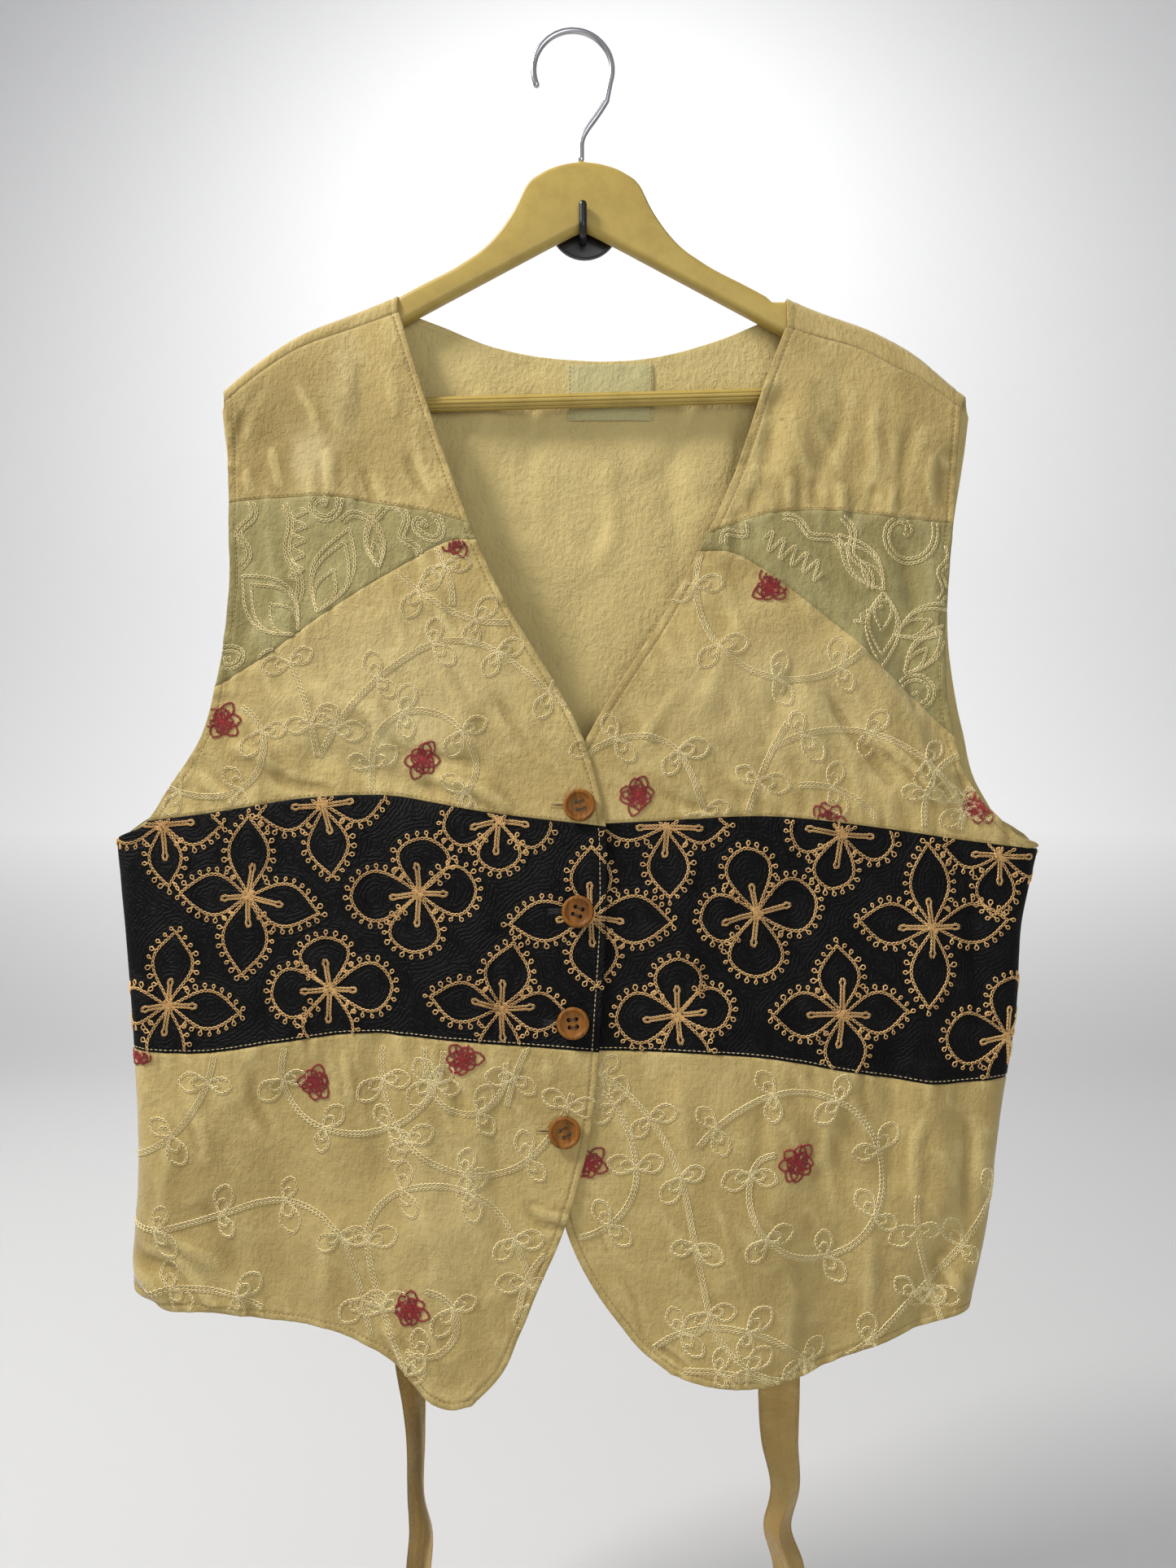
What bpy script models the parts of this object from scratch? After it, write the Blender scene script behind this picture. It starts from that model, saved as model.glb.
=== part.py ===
"""Embroidered waistcoat on its flat hanger and black wall hook.

Every size is in millimetres and becomes metres when a mesh is made. +Z is up, the front of
the waistcoat looks along -Y and the wall is the plane y = 0. The origin is the middle of the
wall plate's back. "right" and "left" are the wearer's, so the right front is at -X.

Places on the cloth have two numbers. p runs outward from the middle, round the side fold,
and v runs up the cloth, over the shoulder and down the other face. On the flat of a face they
are simply x and z.
"""
import math

import bmesh
import bpy
import numpy as np
from mathutils import Matrix, Vector

for old_object in list(bpy.data.objects):
    bpy.data.objects.remove(old_object, do_unlink=True)

# Driving sizes
MM = 0.001
WALL = 1.5
GAP = 0.3
ARM_THICK = 11.4
ARM_MIDDLE_Y = -11.5
SHOULDER_CORNER = 5.8
SIDE_SEAM_ANGLE = math.radians(100)
SIDE_INSET = 14.0
EDGE_FLATTENING = 0.45
FOLD_START = 60.0
HALF_WIDTH = 270.0
COLUMNS = 12
FLAT_COLUMNS = 8
LAP_STEP = 2.2
LAP_FULL = 22.0
LAP_GONE = 70.0

FACE_OUT = ARM_THICK / 2 + GAP + WALL
SHOULDER_FLAT = FACE_OUT - SHOULDER_CORNER
SHOULDER_ARCH = math.pi * SHOULDER_CORNER + 2 * SHOULDER_FLAT
BACK_Y = ARM_MIDDLE_Y + FACE_OUT
FRONT_Y = ARM_MIDDLE_Y - FACE_OUT
RIGHT, LEFT = -1, 1
FRONT, BACK = "front", "back"

# Shoulder ridge: x, z
RIDGE = {
    RIGHT: ((-236, -118), (-217, -101), (-186, -79), (-144, -61.5), (-118, -51)),
    LEFT: ((128, -52.5), (146, -60), (188, -76), (209, -88), (234, -109), (250, -122)),
}
# Forward shoulder seam: x, drop below the ridge
SEAM_DROP = {
    RIGHT: ((-236, 9.5), (-180, 9.5), (-118, 12)),
    LEFT: ((128, 20), (171, 16), (196, 17), (217, 14), (250, 9.5)),
}
# How far the front stands forward: height below the shoulder, depth
FRONT_DEPTH = ((0, 0), (50, 4), (120, 10), (220, 18), (320, 22), (450, 25), (600, 29), (700, 32))
# Silhouette of the sides: z, x
SIDE = {
    RIGHT: ((-690, -283), (-660, -284), (-606, -281), (-529, -284), (-472, -288), (-401, -295)),
    LEFT: ((-690, 241), (-637, 253), (-575, 261), (-503, 272), (-447, 276), (-402, 286)),
}
# Front edge, from the hem up the overlap and the neckline: z, x
FRONT_EDGE = {
    RIGHT: ((-736, -68), (-722, -53), (-695, -39), (-671, -29), (-637, -14), (-587, 1),
            (-494, 11), (-419, 14), (-379, 12), (-335, 0), (-236, -55), (-127, -97), (-60, -118)),
    LEFT: ((-719, 53), (-708, 37), (-690, 21), (-661, 1), (-637, -10), (-600, -17), (-500, -18),
           (-400, -17), (-364, -14), (-324, 6), (-253, 51), (-171, 92), (-101, 116), (-70, 128)),
}
# Armholes from the underarm up, where p passes round the side fold: z, p
FRONT_ARMHOLE = {
    RIGHT: ((-384, -273), (-367, -262), (-334, -240), (-300, -230), (-247, -223), (-184, -224),
            (-122, -227)),
    LEFT: ((-391, 267), (-367, 244), (-324, 229), (-278, 225), (-237, 228), (-175, 234),
           (-125, 238)),
}
BACK_ARMHOLE = {
    RIGHT: ((-372, -269), (-346, -250), (-291, -231), (-223, -226), (-171, -228), (-122, -233)),
    LEFT: ((-380, 263), (-359, 251), (-328, 243), (-270, 234), (-197, 237), (-142, 245),
           (-125, 247)),
}
UNDERARM_Z = {RIGHT: -401, LEFT: -403}
HEM_CORNER_Z = {RIGHT: -679, LEFT: -688}
# Seams across each front, from the side to the front edge: x, z
YOKE_SEAM = {
    RIGHT: ((-224, -184), (-190, -181), (-162, -181), (-121, -187), (-90, -193), (-67, -200)),
    LEFT: ((74, -206), (92, -199), (115, -192), (143, -190), (195, -194), (233, -197)),
}
INSET_SEAM = {
    RIGHT: ((-229, -300), (-191, -276), (-151, -248), (-110, -223), (-85, -210), (-65, -209)),
    LEFT: ((72, -216), (92, -217), (117, -232), (158, -264), (198, -301), (233, -334)),
}
BAND_TOP = {
    RIGHT: ((-273, -384), (-226, -378), (-175, -370), (-119, -368), (-69, -377), (12, -387)),
    LEFT: ((-17, -387), (41, -384), (116, -381), (182, -388), (244, -397), (268, -400)),
}
BAND_FOOT = {
    RIGHT: ((-300, -526), (-236, -528), (-184, -520), (-134, -514), (-84, -518), (7, -525)),
    LEFT: ((-18, -524), (66, -526), (116, -530), (166, -539), (217, -546), (262, -544)),
}
HEM = {
    RIGHT: ((-295, -676), (-269, -682), (-204, -690), (-138, -701), (-112, -716), (-97, -732),
            (-83, -738), (-68, -736)),
    LEFT: ((53, -719), (75, -725), (120, -725), (150, -716), (190, -702), (233, -689),
           (262, -686)),
}
BACK_NECK = ((-118, -57), (-94, -66), (-62, -79), (-10, -88), (43, -87), (85, -76), (128, -58))
BACK_HEM = ((-300, -679), (-200, -655), (0, -637), (190, -660), (260, -688))
ROWS = {"yoke": 6, "inset": 4, "chest": 7, "band": 7, "lower": 9}
ARMHOLE_ROWS = 11
NECK_COLUMNS = 10

# The largest folds: x and z of both ends, spread, rise (out is above zero)
FRONT_FOLDS = {
    RIGHT: (
        (-165, -346, -102, -364, 12, -4.0),
        (-129, -520, -122, -600, 9, -3.0),
        (-284, -652, -232, -684, 10, 4.5),
        (-280, -676, -255, -690, 7, -3.5),
        (-190, -110, -200, -175, 14, -2.0),
        (-150, -95, -155, -180, 12, 2.0),
        (-90, -640, -84, -735, 30, 6.0),
        (-190, -560, -185, -690, 26, -5.0),
        (-222, -122, -224, -150, 12, -2.5),
    ),
    LEFT: (
        (168, -278, 213, -356, 13, 4.5),
        (190, -270, 226, -335, 10, -3.0),
        (122, -118, 108, -160, 8, -2.5),
        (145, -105, 130, -165, 9, 2.5),
        (188, -530, 190, -600, 9, -3.5),
        (216, -540, 222, -620, 10, 3.0),
        (228, -640, 205, -700, 12, -4.0),
        (95, -640, 85, -725, 32, 5.0),
        (150, -600, 150, -712, 20, -4.0),
        (234, -130, 236, -165, 12, -2.5),
    ),
}
BACK_FOLDS = (
    (0, -330, 5, -630, 30, -8.0),
    (-55, -430, -58, -630, 16, 1.5),
    (58, -430, 66, -630, 16, 1.5),
    (-190, -430, -180, -650, 24, -7.0),
    (180, -440, 176, -655, 22, -7.0),
    (-160, -210, -120, -330, 22, -5.0),
    (165, -220, 120, -340, 22, -5.0),
)

# Hanger: distance from its middle, top edge
HANGER_MIDDLE_X = -1.0
HANGER_TOP = ((0, 34.8), (13, 32.8), (26, 27.7), (36, 19.5), (43.5, 4.5), (50.5, -6.2),
              (60, -17.5), (75, -28.8), (105, -45))
ARM_APEX_Z = -8.9
ARM_SLOPE = 0.535
ARM_CORNER = 4.8
ARM_SEAT_GAP = 0.5
ARM_END_X = 203.0
ARM_END_ROUND = 3.0
BAR_SEAT_X = 190.0
BAR_Z = {RIGHT: -121.5, LEFT: -111.5}
BAR_RADIUS = 4.7
BAR_GROOVE = 0.6
BAR_RIBS = 10
ARM_END_DROP = 6.0
WIRE_RADIUS = 2.0
HOOK_RADIUS = 25.0
HOOK_CENTRE = (-7.6, 94.5)
HOOK_START_ANGLE = math.radians(-18)
HOOK_END_ANGLE = math.radians(207)
WIRE_STEM = ((-2.2, 35.1), (-2.2, 42), (-2.0, 48.5), (0.6, 55), (8.2, 65.7), (13.8, 74.5))

# Wall hook
PLATE_RADIUS = 22.5
PLATE_THICK = 4.0
PLATE_EDGE = 1.2
PEG_RADIUS = 2.5
PEG_TIP_Z = 7.0
PEG_BEND = 5.0
PEG_CLEARANCE = 0.8

# Buttons on the overlap: x, z
BUTTONS = ((-3, -374), (-4, -439), (-7, -507), (-12, -573))
BUTTON_HOLE = 1.0
BUTTON_HOLE_OFFSET = 2.3
BUTTON_SEAT = 0.6
DRILL_LENGTH = 12.0
# Turned outline of a button: radius, height
BUTTON_OUTLINE = ((6.9, 0.0), (8.9, 0.5), (10.0, 1.7), (9.5, 3.0), (8.2, 3.3), (7.0, 2.4))

# Neck label on the inside of the back
LABEL = {"x0": -11.0, "x1": 44.0, "top": -91.5, "foot": -127.5, "thick": 0.8}

# Waist ties: z, middle x, middle y, visible width, how deep the middle is folded
TIE_WIDTH = 27.0
TIE_THICK = 1.4
TIES = {
    RIGHT: ((-905, -104, -9, 13, -1), (-863, -105.5, -9, 16, -1), (-835, -104, -9, 15, -1),
            (-813, -106.5, -11, 11, -1), (-770, -107, -11, 12.5, -1), (-729, -111, -8, 20, -1),
            (-690, -112, -4.5, 26, -1), (-640, -112, -2.9, 27, 0), (-470, -112, -2.9, 27, 0)),
    LEFT: ((-905, 127, -7, 22, 1), (-863, 131, -9, 20, 1), (-839, 124, -10, 18, 1),
           (-813, 129, -9, 19, 1), (-785, 126, -6, 24, 1), (-745, 125, -5, 27, 1),
           (-690, 124, -4, 27, 1), (-640, 123, -2.9, 27, 0), (-470, 122, -2.9, 27, 0)),
}
TIE_ROWS = 26
TIE_COLUMNS = 6

# Colour, roughness and metallic value of each finish
FINISHES = {
    "tan_cloth": ((0.53, 0.40, 0.17), 0.85, 0.0),
    "sage_cloth": ((0.40, 0.35, 0.18), 0.85, 0.0),
    "black_cloth": ((0.012, 0.011, 0.012), 0.8, 0.0),
    "label_cloth": ((0.68, 0.58, 0.28), 0.8, 0.0),
    "tie_cloth": ((0.42, 0.29, 0.09), 0.85, 0.0),
    "button_wood": ((0.30, 0.11, 0.03), 0.5, 0.0),
    "hanger_paint": ((0.50, 0.37, 0.12), 0.5, 0.0),
    "hook_wire": ((0.60, 0.60, 0.61), 0.3, 1.0),
    "wall_hook_black": ((0.01, 0.01, 0.01), 0.4, 0.0),
}


def smooth(rows, at):
    """Reads a smooth curve through the rows of a table, and runs on straight past its ends."""
    place, value = np.array(rows, dtype=float).T
    slope = np.gradient(value, place)
    at = np.asarray(at, dtype=float)
    inside = np.clip(at, place[0], place[-1])
    k = np.clip(np.searchsorted(place, inside, side="right") - 1, 0, len(place) - 2)
    span = place[k + 1] - place[k]
    t = (inside - place[k]) / span
    curve = ((1 + 2 * t) * (1 - t) ** 2 * value[k] + t * (1 - t) ** 2 * span * slope[k]
             + t * t * (3 - 2 * t) * value[k + 1] - t * t * (1 - t) * span * slope[k + 1])
    end_slope = np.where(at < place[0], slope[0], slope[-1])
    return curve + (at - inside) * end_slope


def ease(t):
    t = np.clip(t, 0, 1)
    return t * t * (3 - 2 * t)


def ridge(x):
    """Height of the shoulder ridge; it stays level across the neck."""
    right = smooth(RIDGE[RIGHT], np.minimum(x, RIDGE[RIGHT][-1][0]))
    left = smooth(RIDGE[LEFT], np.maximum(x, RIDGE[LEFT][0][0]))
    return np.where(np.asarray(x) < 0, right, left)


def fold_rise(table, x, z):
    """Sum of the soft folds at a place: each one is a rounded ridge or trough along a line."""
    rise = np.zeros(np.broadcast(x, z).shape)
    for x0, z0, x1, z1, spread, height in table:
        along = ((x - x0) * (x1 - x0) + (z - z0) * (z1 - z0)) / ((x1 - x0) ** 2 + (z1 - z0) ** 2)
        along = np.clip(along, 0, 1)
        away = np.hypot(x - x0 - along * (x1 - x0), z - z0 - along * (z1 - z0))
        rise = rise + height * np.exp(-(away / spread) ** 2)
    return rise


def front_plain_y(x, z):
    """The front's outer face before its folds."""
    below = np.maximum(ridge(x) - SHOULDER_CORNER - z, 0)
    bulge = 1 - EDGE_FLATTENING * (x / HALF_WIDTH) ** 2
    return FRONT_Y - smooth(FRONT_DEPTH, below) * bulge


def lap(x):
    """1 where the fronts lie on each other, fading to 0 further along the under front."""
    return 1 - ease((np.abs(x) - LAP_FULL) / (LAP_GONE - LAP_FULL))


def side_fold(side, z):
    """Silhouette and radius of the rounded side fold at a height."""
    edge = np.abs(smooth(SIDE[side], z))
    radius = (BACK_Y - front_plain_y(side * (edge - SIDE_INSET), z)) / 2
    return edge, radius


def outer_face(side, face, p, v):
    """Point of the cloth's outer face at p along it and v up it."""
    p, v = np.broadcast_arrays(np.asarray(p, dtype=float), np.asarray(v, dtype=float))
    start = ridge(p) - SHOULDER_CORNER
    s = v - start
    quarter = math.pi * SHOULDER_CORNER / 2
    first = np.clip(s / SHOULDER_CORNER, 0, math.pi / 2)
    second = np.clip((s - quarter - 2 * SHOULDER_FLAT) / SHOULDER_CORNER, 0, math.pi / 2)
    across = np.clip(s - quarter, 0, 2 * SHOULDER_FLAT)
    arch_z = start + SHOULDER_CORNER * (np.sin(first) + np.cos(second) - 1)
    arch_y = (SHOULDER_FLAT + SHOULDER_CORNER * np.cos(first) - across
              - SHOULDER_CORNER * np.sin(second))
    z = np.where(s < 0, v, np.where(s > SHOULDER_ARCH, start - (s - SHOULDER_ARCH), arch_z))

    edge, radius = side_fold(side, z)
    turn = np.clip((np.abs(p) - (edge - radius)) / radius, 0, math.pi)
    flat_x = np.clip(np.abs(p), 0, edge - radius) * np.sign(p)
    x = flat_x + np.sign(p) * radius * np.sin(turn)
    fade = np.cos(np.minimum(turn, math.pi / 2))
    front_y = front_plain_y(flat_x, z)
    front_y = front_y + (BACK_Y - front_y - 2 * radius) * ease(turn * 4)
    loose = fade * ease((start - z) / FOLD_START)
    front_y = front_y + radius * (1 - np.cos(turn)) - loose * fold_rise(FRONT_FOLDS[side], p, z)
    if side == LEFT:
        front_y = front_y + LAP_STEP * lap(p)
    back_y = BACK_Y - radius * (1 - np.cos(turn)) + fade * fold_rise(BACK_FOLDS, p, z)
    if face == FRONT:
        y = np.where(s > 0, ARM_MIDDLE_Y - arch_y, front_y)
    else:
        y = np.where(s > 0, ARM_MIDDLE_Y + arch_y, back_y)
        y = np.where(s > SHOULDER_ARCH, front_y, y)
    return np.stack([x, y, z], axis=-1)


def cloth_point(side, face, p, v, out=0.0):
    """Point of the outer face moved out along the cloth's own normal (inward below zero)."""
    step = 0.05
    across = outer_face(side, face, p + step, v) - outer_face(side, face, p - step, v)
    up = outer_face(side, face, p, v + step) - outer_face(side, face, p, v - step)
    normal = np.cross(across, up)
    if face == BACK:
        normal = -normal
    normal = normal / np.linalg.norm(normal, axis=-1, keepdims=True)
    return outer_face(side, face, p, v) + normal * np.asarray(out)[..., None]


def finish(name):
    """Principled material of one finish."""
    colour, roughness, metallic = FINISHES[name]
    material = bpy.data.materials.get(name) or bpy.data.materials.new(name)
    material.use_nodes = True
    shader = material.node_tree.nodes["Principled BSDF"]
    shader.inputs["Base Color"].default_value = (*colour, 1.0)
    shader.inputs["Roughness"].default_value = roughness
    shader.inputs["Metallic"].default_value = metallic
    return material


def add_piece(name, mesh, material, round_piece=True):
    """Names a mesh, gives it its finish and puts it in the scene."""
    mesh.materials.append(finish(material))
    if round_piece:
        mesh.shade_smooth()
        mesh.set_sharp_from_angle(angle=math.radians(35))
    piece = bpy.data.objects.new(name, mesh)
    bpy.context.scene.collection.objects.link(piece)
    return piece


def mesh_from(name, points, faces):
    """Mesh in metres from points in millimetres."""
    mesh = bpy.data.meshes.new(name)
    mesh.from_pydata([tuple(float(c) * MM for c in point) for point in points], [], faces)
    mesh.update()
    return mesh


def sided_points(side_of, face, places, out):
    """Points of many places, each worked out with the sizes of its own side."""
    places = np.array(places)
    sides = np.array([side_of(p) for p in places[:, 0]])
    points = np.empty((len(places), 3))
    for side in (RIGHT, LEFT):
        chosen = sides == side
        points[chosen] = cloth_point(side, face, places[chosen, 0], places[chosen, 1], out)
    return points


def cloth_wall(name, side_of, face, grids, material, shift=0.0, thick=WALL):
    """A wall of cloth over one or more grids of (p, v) places that share their common edges."""
    places, index, quads = [], {}, []
    for grid in grids:
        rows, columns = len(grid), len(grid[0])
        numbers = []
        for row in grid:
            numbers.append([])
            for p, v in row:
                key = (round(p, 4), round(v, 4))
                if key not in index:
                    index[key] = len(places)
                    places.append((p, v))
                numbers[-1].append(index[key])
        runs_left = grid[0][-1][0] > grid[0][0][0]
        for i in range(rows - 1):
            for j in range(columns - 1):
                quad = (numbers[i][j], numbers[i][j + 1], numbers[i + 1][j + 1], numbers[i + 1][j])
                quads.append(quad if runs_left == (face == BACK) else quad[::-1])
    outer = sided_points(side_of, face, places, shift)
    inner = sided_points(side_of, face, places, shift - thick)
    count = len(places)
    used = {(quad[k], quad[(k + 1) % 4]) for quad in quads for k in range(4)}
    faces = list(quads)
    faces += [tuple(corner + count for corner in quad[::-1]) for quad in quads]
    faces += [(b, a, a + count, b + count) for a, b in sorted(used) if (b, a) not in used]
    return add_piece(name, mesh_from(name, [*outer, *inner], faces), material, round_piece=False)


def crossing(seam, edge, guess):
    """Place where a seam (x, z) meets an edge read as a function of z."""
    z = guess
    for _ in range(30):
        z = float(smooth(seam, edge(z)))
    return float(edge(z)), z


def patch(top, foot, inner, outer):
    """Grid of places between four edges, given as lists of places that share their corners."""
    top, foot, inner, outer = (np.array(edge, dtype=float) for edge in (top, foot, inner, outer))
    a = np.linspace(0, 1, len(top))[None, :, None]
    b = np.linspace(0, 1, len(inner))[:, None, None]
    corners = ((1 - a) * (1 - b) * top[0] + a * (1 - b) * top[-1]
               + (1 - a) * b * foot[0] + a * b * foot[-1])
    grid = (1 - b) * top[None] + b * foot[None] + (1 - a) * inner[:, None] + a * outer[:, None]
    return grid - corners


def side_seam(side, face, z):
    """p of the side seam, from the front or from the back."""
    edge, radius = side_fold(side, z)
    angle = SIDE_SEAM_ANGLE if face == FRONT else math.pi - SIDE_SEAM_ANGLE
    return side * float(edge - radius + radius * angle)


def outer_rows(side, face, armhole, upper_z, lower_z, rows):
    """Places down a panel's outer edge: along the armhole, then down the side seam."""
    underarm = UNDERARM_Z[side]
    if lower_z > underarm + 1:
        return [(float(smooth(armhole, z)), z) for z in np.linspace(upper_z, lower_z, rows + 1)]
    if upper_z > underarm + 1:
        start = (float(smooth(armhole, upper_z)), upper_z)
        seam = np.linspace(underarm, lower_z, rows)
        return [start] + [(side_seam(side, face, z), float(z)) for z in seam]
    return [(side_seam(side, face, z), float(z)) for z in np.linspace(upper_z, lower_z, rows + 1)]


def seam_columns(seam, side, inner_p, outer_p, inner_z, outer_z):
    """Places along a seam, closer together where the cloth turns round the side."""
    edge, radius = side_fold(side, outer_z)
    turn_p = side * float(edge - radius)
    if abs(outer_p) > abs(turn_p) + 1:
        columns = list(np.linspace(inner_p, turn_p, FLAT_COLUMNS + 1))
        columns += list(np.linspace(turn_p, outer_p, COLUMNS - FLAT_COLUMNS + 1))[1:]
    else:
        columns = list(np.linspace(inner_p, outer_p, COLUMNS + 1))
    places = [(float(p), float(smooth(seam, p))) for p in columns]
    places[0] = (places[0][0], inner_z)
    places[-1] = (places[-1][0], outer_z)
    return places


def front_seams(side):
    """The lines across one front, from the shoulder seam down to the hem, as lists of places."""
    def edge(z):
        return smooth(FRONT_EDGE[side], z)

    def armhole(z):
        return smooth(FRONT_ARMHOLE[side], z)

    shoulder = [(x, float(ridge(x)) - drop) for x, drop in shoulder_rows(side)]
    lines = [shoulder]
    for seam in (YOKE_SEAM[side], INSET_SEAM[side], BAND_TOP[side]):
        inner_p, inner_z = crossing(seam, edge, seam[-1 if side == RIGHT else 0][1])
        outer_p, outer_z = crossing(seam, armhole, seam[0 if side == RIGHT else -1][1])
        lines.append(seam_columns(seam, side, inner_p, outer_p, inner_z, outer_z))
    for seam, corner_z in ((BAND_FOOT[side], None), (HEM[side], HEM_CORNER_Z[side])):
        start = seam[-1 if side == RIGHT else 0]
        inner_p, inner_z = crossing(seam, edge, start[1]) if corner_z is None else start
        outer_z = seam[0 if side == RIGHT else -1][1] if corner_z is None else corner_z
        outer_p = side_seam(side, FRONT, outer_z)
        lines.append(seam_columns(seam, side, inner_p, outer_p, inner_z, outer_z))
    return lines


def shoulder_rows(side):
    """x and seam drop of the columns over one shoulder, from the neck outward."""
    inner_x = RIDGE[side][-1 if side == RIGHT else 0][0]
    outer_x = FRONT_ARMHOLE[side][-1][1]
    return [(float(x), float(smooth(SEAM_DROP[side], x)))
            for x in np.linspace(inner_x, outer_x, COLUMNS + 1)]


def inset_edges(grid, side, amounts):
    """Draws the edges of a grid back from its seams; amounts are top, foot and side."""
    top, foot, outer = amounts
    grid = grid.copy()
    grid[0, :, 1] -= top
    grid[-1, :, 1] += foot
    grid[:, -1, 0] -= side * outer
    return grid


def make_front(side, prefix):
    """The five panels of one front."""
    lines = front_seams(side)
    half = GAP / 2
    panels = (("yoke", "tan_cloth"), ("inset", "sage_cloth"), ("chest", "tan_cloth"),
              ("band", "black_cloth"), ("lower", "tan_cloth"))
    for k, (panel, material) in enumerate(panels):
        top, foot = lines[k], lines[k + 1]
        rows = ROWS[panel]
        inner_z = np.linspace(top[0][1], foot[0][1], rows + 1)
        inner = [(float(smooth(FRONT_EDGE[side], z)), float(z)) for z in inner_z]
        inner[0], inner[-1] = top[0], foot[0]
        outer = outer_rows(side, FRONT, FRONT_ARMHOLE[side], top[-1][1], foot[-1][1], rows)
        outer[0], outer[-1] = top[-1], foot[-1]
        grid = patch(top, foot, inner, outer)
        foot_gap = 0 if panel == "lower" else half
        side_gap = half if panel in ("band", "lower") else 0
        grid = inset_edges(grid, side, (half, foot_gap, side_gap))
        cloth_wall(f"{prefix}_{panel}", lambda p: side, FRONT, [grid.tolist()], material)


def back_edge(side):
    """Places down the back's outer edge, its side seam rows level with the front's."""
    armhole = BACK_ARMHOLE[side]
    tip_x = armhole[-1][1]
    top_z = float(ridge(tip_x)) - SHOULDER_CORNER
    rows = [(float(smooth(armhole, z)), float(z))
            for z in np.linspace(top_z, UNDERARM_Z[side], ARMHOLE_ROWS + 1)[:-1]]
    rows[0] = (tip_x, top_z)
    lines = front_seams(side)
    band = np.linspace(UNDERARM_Z[side], lines[4][-1][1], ROWS["band"])
    lower = np.linspace(lines[4][-1][1], HEM_CORNER_Z[side], ROWS["lower"] + 1)[1:]
    seam = [(side_seam(side, BACK, z) - side * GAP / 2, float(z)) for z in (*band, *lower)]
    return rows + seam


def make_back():
    """The back, in one piece from the hem over both shoulders to the forward seams."""
    left, right = back_edge(LEFT), back_edge(RIGHT)
    neck_right, neck_left = RIDGE[RIGHT][-1][0], RIDGE[LEFT][0][0]
    columns = list(np.linspace(right[0][0], neck_right, COLUMNS + 1))[:-1]
    columns += list(np.linspace(neck_right, neck_left, NECK_COLUMNS + 1))
    columns += list(np.linspace(neck_left, left[0][0], COLUMNS + 1))[1:]
    top = []
    for x in columns:
        over_neck = neck_right < x < neck_left
        z = smooth(BACK_NECK, x) if over_neck else ridge(x) - SHOULDER_CORNER
        top.append((float(x), float(z)))
    count = len(columns)
    turn = COLUMNS - FLAT_COLUMNS
    foot_p = []
    for side, end in ((RIGHT, right[-1]), (LEFT, left[-1])):
        edge, radius = side_fold(side, end[1])
        turn_p = side * float(edge - radius)
        foot_p.append(np.linspace(end[0], turn_p, turn + 1))
    middle = np.linspace(foot_p[0][-1], foot_p[1][-1], count - 2 * turn)
    foot_columns = [*foot_p[0][:-1], *middle, *foot_p[1][::-1][1:]]
    foot = [(float(p), float(smooth(BACK_HEM, p))) for p in foot_columns]
    foot[0], foot[-1] = right[-1], left[-1]
    main = patch(top, foot, right, left)

    quarter = math.pi * SHOULDER_CORNER / 2
    arch = (0, quarter / 2, quarter, quarter + 2 * SHOULDER_FLAT,
            1.5 * quarter + 2 * SHOULDER_FLAT, SHOULDER_ARCH)
    strips = []
    for side in (RIGHT, LEFT):
        front_rows = shoulder_rows(side)
        back_columns = top[:COLUMNS + 1][::-1] if side == RIGHT else top[-COLUMNS - 1:]
        strip = []
        for s in arch:
            share = s / SHOULDER_ARCH
            row = []
            for (back_x, _), (front_x, _) in zip(back_columns, front_rows):
                x = back_x + (front_x - back_x) * share
                row.append((x, float(ridge(x)) - SHOULDER_CORNER + s))
            strip.append(row)
        last = [(x, float(ridge(x)) - SHOULDER_CORNER + SHOULDER_ARCH + drop - SHOULDER_CORNER
                 - GAP / 2) for x, drop in front_rows]
        strip.append(last)
        if side == RIGHT:
            strip = [row[::-1] for row in strip]
        strips.append(strip[::-1])
    cloth_wall("back", lambda p: RIGHT if p < 0 else LEFT, BACK, [main.tolist(), *strips],
               "tan_cloth")


def make_label():
    """The bare neck label, sewn to the inside of the back."""
    heights = np.linspace(LABEL["top"], LABEL["foot"], 4)
    widths = np.linspace(LABEL["x0"], LABEL["x1"], 5)
    grid = [[(float(x), float(z)) for x in widths] for z in heights]
    cloth_wall("neck_label", lambda p: LEFT, BACK, [grid], "label_cloth",
               shift=-WALL - GAP, thick=LABEL["thick"])


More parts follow.
